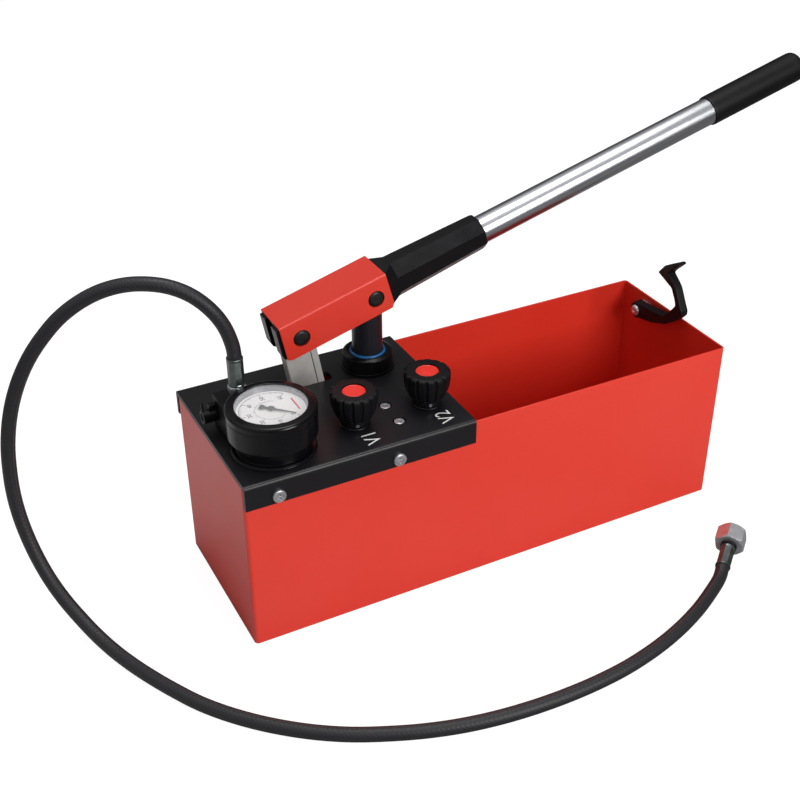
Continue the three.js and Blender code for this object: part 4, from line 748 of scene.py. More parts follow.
# %% Tank
low, high = where("tank")
TANK_CORNER, SHEET = 4.0, 2.0


def plan_ring(inset, half_length, half_width, corner, steps=8):
    """Round the rectangle: each corner is a quarter circle of radius corner - inset."""
    quarter = np.linspace(0, math.pi / 2, steps + 1)
    angle = (quarter + math.pi / 2 * np.arange(4)[:, None]).ravel()
    sign_x = np.repeat([1, -1, -1, 1], steps + 1)
    sign_y = np.repeat([1, 1, -1, -1], steps + 1)
    inset = np.asarray(inset, float)[:, None]
    x = sign_x * (half_length - corner) + (corner - inset) * np.cos(angle)
    y = sign_y * (half_width - corner) + (corner - inset) * np.sin(angle)
    return x, y


profile = eased([
    [3.9, SHEET], [SHEET, SHEET], [SHEET, high[2]], [0, high[2]], [0, 0], [3.9, 0],
], [0, 1.2, 0.7, 0.7, 1.0, 0], steps=3)
x, y = plan_ring(profile[:, 0], high[0], high[1], TANK_CORNER)
grid = np.stack([x, y, np.broadcast_to(profile[:, 1:], x.shape)], -1)
skin("tank_shell", grid, red_coat, ends=(True, True), cad="tank")
print("tank:", (high - low).round(1), "mm")

# %% [markdown]
# ## Cover plate
# A black enamelled plate over the left part of the tank, bent down over both long walls.
# Its flat top is one panel with a slot for the link and two sunk holes for the screws,
# and each flange with its bend is a strip that follows the section. The strip starts 3 mm
# inside the bend, so that the panel's uneven triangles don't disturb the bend's shading.

# %% Cover plate
low, high = where("cover_plate")
THICK, BEND, FLAT_ROW = 4.4, 5.0, 3.0
xs = np.linspace(low[0], high[0], 42)
inner_y = high[1] - BEND - FLAT_ROW
ys = np.linspace(-inner_y, inner_y, 30)
rim = np.vstack([
    np.stack([xs, np.full_like(xs, -inner_y)], -1)[:-1],
    np.stack([np.full_like(ys, high[0]), ys], -1)[:-1],
    np.stack([xs[::-1], np.full_like(xs, inner_y)], -1)[:-1],
    np.stack([np.full_like(ys, low[0]), ys[::-1]], -1)[:-1],
])
SLOT_X, SLOT_HALF, SLOT_CORNER = (-165.0, -118.2), 8.2, 5.0
row_y = centre_of("link")[1]
slot = eased([
    [SLOT_X[0], row_y - SLOT_HALF], [SLOT_X[1], row_y - SLOT_HALF],
    [SLOT_X[1], row_y + SLOT_HALF], [SLOT_X[0], row_y + SLOT_HALF],
], SLOT_CORNER * 1.2, steps=8, closed=True)
screws = {name: centre_of(name) for name in ("block_screw_front", "block_screw_rear")}
SINK_RADIUS = 6.3
sinks = [circle(middle[0], middle[1], SINK_RADIUS) for middle in screws.values()]


def on_top(points):
    """Flat points on the cover's top face."""
    return np.column_stack([points, np.full(len(points), high[2])])


def flange(side):
    """The section of one flange and its bend, carried along the plate's length."""
    section = eased([[high[1], low[2]], [high[1], high[2]], [inner_y, high[2]]], BEND, 8)
    return swept(section * [side, 1], xs)


folded("cover_sheet", [([rim, slot, *sinks], on_top)], [flange(-1), flange(1)], THICK, 0.45,
       cover_enamel, "pump", (low[0] / 2 + high[0] / 2, 0, 400), "cover_plate")
for name, middle in screws.items():
    lathe(f"{name}_seat", [[3.3, high[2] - 4.3], [SINK_RADIUS + 0.5, high[2] - 4.3],
                           [SINK_RADIUS + 0.5, high[2] - 3.2], [3.3, high[2] - 3.2],
                           [3.3, high[2] - 4.3]],
          (middle[0], middle[1], 0), cover_enamel)
print("cover:", (high - low).round(1), "mm")

# %% [markdown]
# ## Screws
# The flange screws are pan heads with a cross recess. The head is a disc of rings whose
# height is a low dome, minus the recess: a cross whose walls fall over a quarter of a
# millimetre. The two screws on top have a hexagon socket, so their rings go over from
# circles to hexagons.

# %% Screws
def pan_screw(name, axes, length):
    """A pan head with a cross recess, its shank below it, standing on zero."""
    radius, height = 6.2, 3.2
    arm_half, arm_reach, arm_depth = 0.8, 3.5, 1.6
    r = np.r_[np.linspace(0, radius - 0.6, 26), radius - 0.25, radius - 0.05, radius]
    x, y = r[:, None] * np.cos(angles(ROUND)), r[:, None] * np.sin(angles(ROUND))
    dome = height - 0.5 * (r / radius) ** 2
    dome[-3:] = height - 0.5 - np.array([0.15, 0.4, 0.9])
    thin, wide = np.minimum(abs(x), abs(y)), np.maximum(abs(x), abs(y))
    cross = (np.clip((arm_half - thin) / 0.25, 0, 1)
             * np.clip((arm_reach - wide) / 0.5, 0, 1))
    z = dome[:, None] - arm_depth * cross
    under = np.repeat([[0.0], [0.0], [-length + 1.5], [-length]], ROUND, 1)
    below = np.repeat([[radius - 0.1], [2.5], [2.5], [1.4]], ROUND, 1)
    low, high = where(name)
    middle = (low + high) / 2
    seat = np.array([middle[0], axes[2][1] * (high[1] if axes[2][1] > 0 else -low[1]), middle[2]])
    seat -= np.asarray(axes[2]) * height
    turned(f"{name}_pan", np.vstack([np.repeat(r[:, None], ROUND, 1), below]),
           np.vstack([z, under]), seat, zinc, axes=axes, sides=ROUND,
           ends=(False, True), sharp=40, cad=name)


UPRIGHT_PLATE = [[1, 0, 0], [0, 0, 1], [0, -1, 0]]
rear_axes = [[-1, 0, 0], [0, 0, 1], [0, 1, 0]]
for side, axes in (("front", UPRIGHT_PLATE), ("rear", rear_axes)):
    for end in ("left", "right"):
        pan_screw(f"cover_screw_{side}_{end}", axes, 14.0)

for name, middle in screws.items():
    low, high = where(name)
    socket = hexagon(1.7)
    rows = [
        (0, high[2] - 2.2), (socket * 0.97, high[2] - 2.2), (socket, high[2] - 0.3),
        (socket + 0.3, high[2]), (4.3, high[2]), (4.75, high[2] - 0.2), (4.9, high[2] - 0.6),
        (4.9, high[2] - 2.6), (3.0, high[2] - 2.6), (3.0, low[2]), (0, low[2]),
    ]
    turned(f"{name}_socket", np.vstack([np.broadcast_to(r, (1, ROUND)) for r, _ in rows]),
           [z for _, z in rows], (middle[0], middle[1], 0), zinc, sides=ROUND,
           cad=name)
print("screws made")

# %% [markdown]
# ## Needle valves
# Each valve has a turned bonnet, a fluted knob and a red cap. Below the knob's fluted body
# is a plain hub with the grub screw. The body's radius grows from its foot to its shoulder
# along a curve, 1 - (1 - t)^2.3. Fifteen flutes are pressed into it: where the cosine of
# fifteen times the angle is above 0.35, its depth is taken off the radius. A recess on top
# holds the cap.

# %% Needle valves
FLUTES, HUB_HEIGHT, HUB_RADIUS = 15, 7.4, 14.0
COVER_SEAT = 183.5
for number in (1, 2):
    cap_low, cap_high = where(f"knob_cap_{number}")
    x, y = (cap_low + cap_high)[:2] / 2
    low, high = where(f"knob_{number}")
    bottom, top, floor = low[2], high[2], cap_low[2] - 0.3
    hub = eased([[0, bottom], [HUB_RADIUS, bottom], [HUB_RADIUS, bottom + HUB_HEIGHT],
                 [17.0, bottom + HUB_HEIGHT]], 0.5, 3)
    t = np.linspace(0, 1, 22)
    side_r = 17.3 + 4.7 * (1 - (1 - t) ** 2.3)
    side_z = bottom + HUB_HEIGHT + 0.5 + t * (top - 3.6 - bottom - HUB_HEIGHT - 0.5)
    crown = eased([[22.0, top - 3.6], [21.7, top - 1.1], [18.4, top]], 2.2, 5)[1:]
    recess = eased([[18.4, top], [11.2, top], [11.2, floor + 1.0], [11.2, floor]], 0.3, 2)[1:]
    r = np.r_[hub[:, 0], side_r, crown[:, 0], recess[:, 0], 0]
    z = np.r_[hub[:, 1], side_z, crown[:, 1], recess[:, 1], floor]
    depth = np.r_[np.zeros(len(hub)), 1.4 + 0.6 * t, np.linspace(2.0, 0.6, len(crown)),
                  np.zeros(len(recess)), 0]
    theta = angles(FLUTES * 14)
    flute = np.clip((np.cos(FLUTES * theta) - 0.35) / 0.65, 0, 1) ** 0.7
    turned(f"knob_{number}_fluted", r[:, None] - depth[:, None] * flute, z, (x, y, 0),
           knob_nylon, f"knob_{number}", sides=len(theta), sharp=50,
           cad=f"knob_{number}")
    low, high = cap_low, cap_high
    cap = [[0, low[2]], [10.8, low[2]], [10.8, high[2]], [9.9, high[2]], [9.6, high[2] - 0.25],
           [9.3, high[2]], [6.0, high[2] + 0.12], [0, high[2] + 0.2]]
    lathe(f"knob_cap_{number}_disc", eased(cap, 0.25, 3), (x, y, 0), cap_gloss,
          f"knob_{number}", cad=f"knob_cap_{number}")
    low, high = where(f"valve_bonnet_{number}")
    bonnet = eased([
        [4.3, low[2]], [9.0, low[2]], [9.0, COVER_SEAT], [14.5, COVER_SEAT],
        [14.5, high[2] - 0.7], [13.7, high[2]], [4.3, high[2]], [4.3, low[2]],
    ], 0.4, 3)
    lathe(f"valve_bonnet_{number}_turned", bonnet, (x, y, 0), black_steel,
          cad=f"valve_bonnet_{number}")
    low, high = where(f"knob_grub_screw_{number}")
    turn = math.radians(-13.5)
    outer_end = np.array([x + HUB_RADIUS * math.sin(turn), y - HUB_RADIUS * math.cos(turn),
                          (low[2] + high[2]) / 2])
    grub_axes = [[math.cos(turn), math.sin(turn), 0], [0, 0, -1],
                 [-math.sin(turn), math.cos(turn), 0]]
    grub = [[0, 0.9], [0.8, 0.9], [0.8, 0], [1.4, 0], [1.7, 0.3], [1.7, 9.6], [0, 9.6]]
    lathe(f"knob_grub_{number}", grub, outer_end, zinc, f"knob_{number}", axes=grub_axes,
          sides=24, cad=f"knob_grub_screw_{number}")
print("valves made, with", FLUTES, "flutes each")

# %% [markdown]
# ## Gauge
# Base, case and bezel are turned shapes. The dial lies under a window, with a silvered
# cone round it, which is the pale ring between rim and dial. Scale lines and numbers are
# thin raised print. The scale runs clockwise over 270 degrees from the pointer's stop, and
# the numbers read with the tank's left end up.

# %% Gauge body
low, high = where("gauge_bezel")
gauge = (*((low + high)[:2] / 2), 0)
base = where("gauge_base")
case = where("gauge_case")
rim = high[2]
dial_low, dial_top = where("gauge_dial")[0][2], where("gauge_dial")[1][2]
lathe("gauge_base_turned", eased([
    [2, base[0][2]], [7, base[0][2]], [7, COVER_SEAT], [39, COVER_SEAT], [39, 184.6],
    [37.8, 184.8], [37.8, 186.0], [34, 186.2], [34, case[0][2] - 0.3], [7, case[0][2] - 0.3],
    [7, base[1][2]], [2, base[1][2]], [2, base[0][2]],
], 0.5, 3), gauge, gauge_abs, sides=ROUND, cad="gauge_base")
lathe("gauge_case_moulded", eased([
    [7.3, case[0][2]], [39.9, case[0][2]], [40.7, case[0][2] + 1.3], [40.8, low[2] - 0.3],
    [37.5, low[2] - 0.3], [37.5, dial_low - 0.3], [36.4, dial_low - 0.3],
    [36.4, case[0][2] + 3], [7.3, case[0][2] + 3], [7.3, case[0][2]],
], 0.7, 3), gauge, gauge_abs, sides=128, cad="gauge_case")
lathe("gauge_bezel_ring", eased([
    [37.8, low[2]], [40.8, low[2]], [41.2, rim - 3.0], [39.6, rim - 0.8], [33.5, rim],
    [32.6, rim - 0.9], [32.6, rim - 6.7], [37.8, rim - 6.7], [37.8, low[2]],
], [0, 0.4, 0.9, 1.2, 0.6, 0.6, 0.3, 0.3, 0], 4), gauge, gauge_abs, sides=128,
    cad="gauge_bezel")
lathe("gauge_surround", [
    [31.0, dial_top + 0.1], [32.4, rim - 1.0], [32.55, rim - 1.0], [32.55, dial_top + 0.1],
    [31.0, dial_top + 0.1],
], gauge, silver_ring, sides=128)
lens = where("gauge_lens")
lathe("gauge_window", eased([
    [0, lens[0][2]], [31.6, lens[0][2]], [32.1, lens[1][2] - 0.3], [31.8, lens[1][2]],
    [0, lens[1][2]],
], 0.2, 2), gauge, window, sides=ROUND, cad="gauge_lens")
lathe("gauge_dial_plate", [
    [1.5, dial_top - 1], [37.2, dial_top - 1], [37.2, dial_top], [1.5, dial_top],
    [1.5, dial_top - 1],
], gauge, dial_enamel, sides=ROUND, cad="gauge_dial")
print("gauge centre", [round(v, 1) for v in gauge], "rim at", round(rim, 1))

# %% [markdown]
# ## Dial print
# All scale lines are one mesh of small raised bars: eight corners for each line, worked
# out for all lines at once. Arcs are a flat section carried round part of a circle.
# Numbers are text turned to a mesh before it is moved to its place.

# %% Dial print
PRINT_LOW, PRINT_HIGH = dial_top + 0.01, dial_top + 0.09
SCALE_START, SCALE_SWEEP = math.radians(-43.5), math.radians(270)
BOX_FACES = np.array([[0, 1, 2, 3], [7, 6, 5, 4], [0, 4, 5, 1], [1, 5, 6, 2],
                      [2, 6, 7, 3], [3, 7, 4, 0]])


def scale_lines(name, shares, inner, outer, width, material):
    """Bars from inner to outer radius at the given shares of the scale's sweep."""
    angle = SCALE_START - SCALE_SWEEP * np.asarray(shares)
    way = np.stack([np.cos(angle), np.sin(angle)], -1)[:, None]
    square = np.stack([-np.sin(angle), np.cos(angle)], -1)[:, None]
    along = np.array([inner, outer, outer, inner])[:, None]
    beside = np.array([-1, -1, 1, 1])[:, None] * width / 2
    flat = way * along + square * beside
    lows = np.concatenate([flat, np.full((*flat.shape[:2], 1), PRINT_LOW)], -1)
    highs = np.concatenate([flat, np.full((*flat.shape[:2], 1), PRINT_HIGH)], -1)
    points = np.concatenate([lows, highs], 1).reshape(-1, 3)
    faces = BOX_FACES + 8 * np.arange(len(angle))[:, None, None]
    return solid(name, placed(points, gauge, UPRIGHT), faces.reshape(-1, 4).tolist(),
                 material, even=False)


def scale_arc(name, radius, width, share_from, share_to, material):
    """A thin band round part of the dial."""
    angle = SCALE_START - SCALE_SWEEP * np.linspace(share_from, share_to, 90)[:, None]
    r = radius + width / 2 * np.array([-1, 1, 1, -1])
    z = np.broadcast_to(np.array([PRINT_LOW, PRINT_LOW, PRINT_HIGH, PRINT_HIGH]), (90, 4))
    grid = np.stack([r * np.cos(angle), r * np.sin(angle), z], -1)
    return skin(name, placed(grid, gauge, UPRIGHT), material, ends=(True, True),
                even=False)


def printed(name, words, width, height, centre, rightwards, upwards, material, thin=0.0):
    """Text as a thin solid, stretched to a width and height in millimetres about centre."""
    curve = bpy.data.curves.new(name, "FONT")
    curve.body, curve.size = words, height / 0.7 * MM
    curve.align_x = curve.align_y = "CENTER"
    curve.extrude, curve.offset = 0.00004, thin * MM
    helper = linked(name + "_text", curve)
    bpy.context.view_layer.update()
    mesh = bpy.data.meshes.new_from_object(helper)
    bpy.data.objects.remove(helper)
    points = np.empty(len(mesh.vertices) * 3)
    mesh.vertices.foreach_get("co", points)
    points = points.reshape(-1, 3) / MM
    spread = points.max(0) - points.min(0)
    points[:, :2] -= (points.max(0) + points.min(0))[:2] / 2
    points[:, :2] *= np.array([width, height]) / spread[:2]
    faces = [list(face.vertices) for face in mesh.polygons]
    bpy.data.meshes.remove(mesh)
    axes = [rightwards, upwards, np.cross(rightwards, upwards)]
    return solid(name, placed(points, centre, axes), faces, material, even=False)


scale_lines("dial_long_lines", np.arange(7) / 6, 24.2, 28.6, 0.55, black_ink)
scale_lines("dial_middle_lines", np.arange(13) / 12, 25.8, 28.6, 0.4, black_ink)
scale_lines("dial_short_lines", np.arange(61) / 60, 26.9, 28.6, 0.22, black_ink)
scale_arc("dial_outer_arc", 28.6, 0.3, 0, 1, black_ink)
scale_arc("dial_inner_arc", 14.6, 0.25, 0.04, 0.96, black_ink)
scale_lines("dial_inner_lines", np.arange(1, 9) / 9, 14.6, 16.4, 0.3, black_ink)
for step in range(7):
    a = SCALE_START - SCALE_SWEEP * step / 6
    spot = (gauge[0] + 20.6 * math.cos(a), gauge[1] + 20.6 * math.sin(a), PRINT_LOW + 0.04)
    words = str(step * 10)
    printed(f"dial_number_{words}", words, 2.9 * len(words), 3.9, spot, (0, 1, 0), (-1, 0, 0),
            black_ink)
bar = np.array([[22.2, -10.0], [23.9, -10.0], [23.9, 10.0], [22.2, 10.0]])
plate("dial_red_bar", [bar], PRINT_LOW, PRINT_HIGH, 0.02, red_ink, centre=gauge,
      steps=1, even=False)

low, high = where("gauge_pointer")
pointer_way = np.array([math.cos(SCALE_START), math.sin(SCALE_START), 0.0])
pointer_axes = [pointer_way, np.cross([0, 0, 1], pointer_way), [0, 0, 1]]
needle = [[24.0, 0.0], [22.5, 0.35], [2.5, 1.0], [-6.0, 1.3], [-7.5, 3.0], [-11.0, 3.2],
          [-11.0, -3.2], [-7.5, -3.0], [-6.0, -1.3], [2.5, -1.0], [22.5, -0.35]]
plate("pointer_needle", [eased(needle, 0.5, 3, closed=True)], low[2], high[2], 0.15,
      black_ink, "pointer", centre=gauge, axes=pointer_axes, cad="gauge_pointer")
lathe("pointer_hub", eased([
    [0, high[2] - 0.1], [3.2, high[2] - 0.1], [3.2, high[2] + 0.5], [0, high[2] + 0.9]],
    0.3, 3), gauge, black_ink, "pointer", sides=40)
print("dial printed")

# %% [markdown]
# ## Valve labels
# Two plain labels name the valves. They are screen-printed in white and read from the
# tank's open end.

# %% Valve labels
cover_top = where("cover_plate")[1][2]
for words, x, y, wide, tall in (("V1", -131.1, -72.0, 16.7, 14.3),
                                ("V2", -55.5, -70.9, 18.9, 14.8)):
    printed(f"label_{words.lower()}", words, wide, tall, (x, y, cover_top + 0.05), (0, 1, 0),
            (-1, 0, 0), white_ink, thin=-0.12)

# %% [markdown]
# ## Outlet block
# A moulded block beside the gauge, hollowed to fit round it. Its plan is three straight
# sides and an arc about the gauge's axis, raised with rounded edges. A plug with a lug and
# a thin pin closes its left end.

# %% Outlet block
low, high = where("outlet_block")
HOLLOW = 41.8
arc = np.linspace(math.acos((low[0] - gauge[0]) / HOLLOW),
                  math.acos((high[0] - gauge[0]) / HOLLOW), 26)
hollow = np.stack([gauge[0] + HOLLOW * np.cos(arc), gauge[1] + HOLLOW * np.sin(arc)], -1)
outline = np.vstack([
    eased([hollow[-1], [high[0], high[1]], [low[0], high[1]], hollow[0]], 1.6, 4),
    hollow[1:-1]])
plate("outlet_block_moulded", [outline], low[2], high[2], 1.2, block_abs,
      cad="outlet_block")
lathe("outlet_boss", eased([[0, high[2] - 1], [8.5, high[2] - 1], [8.5, high[2] + 0.1],
                            [8.2, high[2] + 0.25], [0, high[2] + 0.25]], 0.3, 2),
      (*port, 0), block_abs, sides=48)
low, high = where("side_plug")
face = where("outlet_block")[0][0] - 0.3
plug_y, plug_z = (low[1] + high[1]) / 2, low[2] + 6.5
plug_axes = [[0, 1, 0], [0, 0, -1], [-1, 0, 0]]
lathe("side_plug_body", eased([
    [0, 0], [6.5, 0], [6.5, 4.4], [5.9, 4.6], [5.9, 5.4], [6.5, 5.6], [6.5, 13.0],
    [4.2, 13.0], [3.9, 11.8], [0, 11.8]], 0.35, 3), (face, plug_y, plug_z), block_abs,
    axes=plug_axes, cad="side_plug")
lug = eased([[-3, 0], [3, 0], [3, 12.0], [-3, 12.0]], 1.2, 3, closed=True)
plate("side_plug_lug", [lug], 0.2, 6.4, 0.6, block_abs,
      centre=(face, plug_y, plug_z), axes=[[0, 1, 0], [0, 0, 1], [-1, 0, 0]])
lathe("side_plug_pin", eased([[0, 0], [1, 0], [1, 15.2], [0, 15.4]], 0.3, 3),
      (face - 12.0, plug_y, plug_z), black_steel, sides=24)
print("outlet block and plug made")

# %% [markdown]
# ## Gland and plunger
# The gland collar and its washer are turned and blackened. A thin blue wiper ring seals
# round the plunger. The plunger ends in a flat tongue for its pin, hidden in the lever.

# %% Gland and plunger
WIPER_FLOOR, LIP_UNDERSIDE = 197.0, 193.5
low, high = where("gland_collar")
pump_axis = (*((low + high)[:2] / 2), 0)
washer = where("gland_washer")
lathe("gland_washer_turned", eased([
    [20, washer[0][2]], [26, washer[0][2]], [26, washer[1][2]], [20, washer[1][2]],
    [20, washer[0][2]]], 0.5, 3), pump_axis, black_steel, sides=ROUND,
    cad="gland_washer")
lathe("gland_collar_turned", eased([
    [20, low[2]], [24.5, low[2]], [24.5, high[2] - 1.9], [21.0, high[2]],
    [20.1, high[2]], [19.6, high[2] - 1.0], [18.1, high[2] - 1.0], [18.1, WIPER_FLOOR],
    [15.4, WIPER_FLOOR], [15.4, LIP_UNDERSIDE], [20, LIP_UNDERSIDE], [20, low[2]]],
    [0, 0.6, 1.0, 0.4, 0.3, 0.3, 0.2, 0.2, 0.2, 0.2, 0.2, 0], 3), pump_axis, black_steel,
    sides=ROUND, cad="gland_collar")
wiper = where("wiper_seal")
lathe("wiper_ring", eased([
    [15.35, wiper[0][2]], [17.8, wiper[0][2]], [17.8, high[2] - 0.5], [17.3, high[2] + 0.3],
    [16.3, high[2] + 0.6], [15.35, high[2] + 0.3], [15.35, wiper[0][2]]], 0.4, 3),
    pump_axis, wiper_blue, sides=ROUND, cad="wiper_seal")
low, high = where("plunger")
pin = centre_of("lever_pin_plunger")
lathe("plunger_rod", eased([
    [0, low[2]], [13.5, low[2]], [15, low[2] + 1.5], [15, pin[2] - 16.9], [7, pin[2] - 16.9],
    [0, pin[2] - 16.9]], 0.5, 3), pump_axis, plunger_steel, "plunger", sides=ROUND,
    cad="plunger")
theta = np.linspace(0, math.pi, 25)
tongue = np.vstack([np.stack([14.3 * np.cos(theta), 14.3 * np.sin(theta)], -1),
                    [[-14.3, -17.2], [14.3, -17.2]]])
plate("plunger_tongue", [tongue, circle(0, 0, 5.3)], -7, 7, 0.6, plunger_steel, "plunger",
      centre=pin, axes=UPRIGHT_PLATE)
print("plunger reaches", round(high[2], 1))

# %% [markdown]
# ## Link
# A flat casting with round ends, one eye on the lever's front pin and a wider one on the
# foot pin, where it may slide a little. Its outline is two half circles, and its edges are
# eased by 1.4 mm as on a casting. A thin dark strip down its front face is painted shade,
# standing for the shade in a shallow groove.

# %% Link
link_pin, foot_pin = centre_of("lever_pin_link"), centre_of("link_base_pin")
link_up = (link_pin - foot_pin) * np.array([1, 0, 1])
link_length = np.linalg.norm(link_up)
link_up /= link_length
link_across = np.array([link_up[2], 0, -link_up[0]])
link_axes = [link_across, link_up, np.cross(link_across, link_up)]
half = np.linspace(0, math.pi, 33)
arch = 16.6 * np.stack([np.cos(half), np.sin(half)], -1)
link_line = np.vstack([arch, -arch - [0, link_length]])
wide_eye = np.vstack([
    [-5, -link_length] + 6.6 * np.stack([-np.sin(half), np.cos(half)], -1),
    [0.3, -link_length] + 6.6 * np.stack([np.sin(half), -np.cos(half)], -1)])
plate("link_casting", [link_line, circle(0, 0, 5.3), wide_eye], -7, 7, 1.4, cast_iron,
      "link", centre=link_pin, axes=link_axes, cad="link")
# Painted shade: a thin dark strip on the front face stands for the shade in a shallow groove.
groove_shade = np.array([[9.0, -link_length + 4], [9.9, -link_length + 4], [9.9, -4], [9.0, -4]])
plate("link_painted_groove_shade", [groove_shade], 6.9, 7.04, 0.02, rubber_and_shade_black, "link", centre=link_pin,
      axes=link_axes, steps=1, even=False)
print(f"link: {link_length:.1f} mm between its pins")

# %% [markdown]
# ## Lever
# The lever has its own axes: along it, across the tank, and square to both. The channel
# is bent from 2.5 mm sheet with a tight bend, and has a hole on each side for each pin's
# head. Its side panels and its bent top share edge points, like the cover's.

# %% Lever channel
lever_way = (pin - link_pin) * np.array([1, 0, 1])
lever_way /= np.linalg.norm(lever_way)
lever_up = np.array([-lever_way[2], 0, lever_way[0]])
side_axes = np.array([lever_way, lever_up, np.cross(lever_way, lever_up)])
LEFT, HEEL, TOP, BOTTOM, WIDE, FOLD = -99.8, 15.8, 20.5, -17.2, 22.5, 1.6
SEAM = TOP - FOLD - 2.0
us = np.linspace(HEEL, LEFT + 2.4, 44)
wall = np.vstack([
    np.stack([us, np.full_like(us, SEAM)], -1),
    eased([[LEFT + 2.3, SEAM], [LEFT, BOTTOM + 2.5], [LEFT + 4.1, BOTTOM],
           [HEEL - 2.6, BOTTOM], [HEEL, BOTTOM + 4.5], [HEEL, SEAM]], 1.0, 3)[1:-1],
])
holes = [circle(0, 0, 8.5), circle(-80, 0, 8.5)]


def channel_side(y):
    """Maps the side panel's points to the lever's plane at that distance across."""
    return lambda p: placed(np.column_stack([p, np.full(len(p), -y)]), pin, side_axes)


section = eased([[-WIDE, SEAM], [-WIDE, TOP], [WIDE, TOP], [WIDE, SEAM]], FOLD, 6)
top_grid = swept(section[:, ::-1] * [1, -1], us)
folded("channel_sheet", [([wall, *holes], channel_side(-WIDE)),
                         ([wall, *holes], channel_side(WIDE))],
       [placed(top_grid, pin, side_axes)], 2.5, 0.35, red_coat, "lever",
       pin + lever_up * 300 - lever_way * 40, "lever_channel")
print("lever leans", round(math.degrees(math.atan2(lever_way[2], lever_way[0])), 2), "degrees")

# %% [markdown]
# ## Socket, tube, grip and pins
# The socket is a forging whose fork, neck and eight-sided shaft the CAD model already has
# in full, so its solid is copied, welded and given broken edges by a bevel. Tube and grip
# are turned along the lever. The pins' heads are low domes with worn oxide.

# %% Socket
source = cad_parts["lever_socket"]
mesh = source.data.copy()
mesh.name = "socket_forging"
work = bmesh.new()
work.from_mesh(mesh)
bmesh.ops.remove_doubles(work, verts=work.verts, dist=1e-5)
bmesh.ops.dissolve_limit(work, angle_limit=math.radians(0.5), verts=work.verts,
                         edges=work.edges)
work.to_mesh(mesh)
work.free()
mesh.materials.clear()
socket = as_piece("socket_forging", mesh, black_steel, "lever", SHARP_DEG, "lever_socket")
break_edges(socket, 0.6, 28)
print("socket corners:", len(mesh.vertices))

# %% Tube, grip and pins
TUBE_START, TUBE_END, GRIP_START, GRIP_END = 60.3, 514.7, 405.0, 521.0
along_axes = [lever_up, np.cross(lever_way, lever_up), lever_way]
tube_line = eased([[12, TUBE_START], [14, TUBE_START], [14, TUBE_END], [12, TUBE_END],
                   [12, TUBE_START]], 0.3, 2)
lathe("lever_tube_drawn", tube_line, pin, tube_zinc, "lever", axes=along_axes, sides=ROUND,
      lengths=tube_line[:, 1] * MM, cad="lever_tube")
lathe("lever_grip_dipped", eased([
    [14.1, GRIP_START], [15.2, GRIP_START], [15.5, GRIP_START + 2], [15.5, GRIP_END],
    [0, GRIP_END], [0, TUBE_END + 0.3], [14.1, TUBE_END + 0.3], [14.1, GRIP_START]],
    [0, 0.5, 1, 7.0, 0, 0, 0.3, 0], 8), pin, grip_vinyl, "lever", axes=along_axes,
    sides=ROUND, cad="lever_grip")
for name in ("lever_pin_link", "lever_pin_plunger"):
    low, high = where(name)
    middle = (low + high) / 2
    end, face = high[1] - middle[1], 19.7
    half_line = eased([[5, 0], [5, face], [8.0, face], [8.0, end - 1.5], [5.9, end - 0.2],
                       [0, end]], [0, 0.2, 0.2, 1.2, 1.6, 0], 4)
    both = np.vstack([half_line[::-1] * [1, -1], half_line])
    lathe(f"{name}_domed", both, middle, worn_steel, "lever",
          axes=UPRIGHT_PLATE, sides=64, cad=name)
print("lever dressed")

# %% [markdown]
# ## Hook
# A flat moulded hook on the right wall that holds the lowered lever. Its outline is drawn
# in shares of its 80 mm size, seen along the tank, and its corners and edges are rounded.

# %% Hook
HOOK_SIZE = 80.0
hook_shares = np.array([
    [0.075, -0.075], [0.0, -0.11], [-0.106, -0.087], [-0.325, -0.037], [-0.612, 0.075],
    [-0.8, 0.212], [-0.912, 0.337], [-0.912, 0.4], [-0.862, 0.475], [-0.812, 0.562],
    [-0.746, 0.675], [-0.687, 0.725], [-0.575, 0.806], [-0.612, 0.856], [-0.775, 1.0175],
    [-0.737, 1.0375], [-0.48, 0.8825], [-0.362, 0.7375], [-0.587, 0.6625],
    [-0.662, 0.6375], [-0.75, 0.5], [-0.775, 0.431], [-0.712, 0.345], [-0.569, 0.1925],
    [-0.4, 0.1625], [-0.1, 0.125], [0.062, 0.1125],
])
low, high = where("hook")
screw_low, screw_high = where("hook_screw")
pivot = np.array([0, *((screw_low + screw_high)[1:] / 2)])
WALL_AXES = [[0, 1, 0], [0, 0, 1], [1, 0, 0]]
hook_line = eased(hook_shares * HOOK_SIZE, 1.8, 3, closed=True)
plate("hook_moulded", [hook_line], low[0], high[0], 1.2, block_abs, "hook", centre=pivot,
      axes=WALL_AXES, cad="hook")
lathe("hook_boss", eased([[0, low[0] - 0.2], [8.6, low[0] - 0.2], [9.1, low[0] + 0.6],
                          [9.1, high[0] - 0.3], [0, high[0] - 0.3]], 0.3, 2),
      pivot, block_abs, "hook", axes=WALL_AXES)
lathe("hook_screw_turned", eased([
    [0, screw_low[0] + 1.0], [1.6, screw_low[0] + 1.0], [1.9, screw_low[0]],
    [4.2, screw_low[0]], [6.0, screw_low[0] + 1.5], [6.0, low[0] - 0.25],
    [3.0, low[0] - 0.25], [3.0, screw_high[0]], [0, screw_high[0]]],
    [0, 0.2, 0.2, 1, 0.8, 0.2, 0.2, 0.3, 0], 3), pivot, zinc, axes=WALL_AXES,
    sides=48, cad="hook_screw")
low, high = where("hook_nut")
z = np.r_[low[0], low[0] + 0.4, high[0] - 0.8, high[0] - 0.4, high[0]]
cone = 4.9 + 1.6 * np.array([0.2, 0.8, 0.8, 0.4, 0])
radius = np.vstack([np.minimum(hexagon(5.0), cone[:, None]), np.full((2, ROUND), 3.0)])
turned("hook_nut_hex", radius, np.r_[z, high[0], low[0]], pivot, zinc,
       axes=WALL_AXES, sides=ROUND, loop=True, cad="hook_nut")
print("hook made")

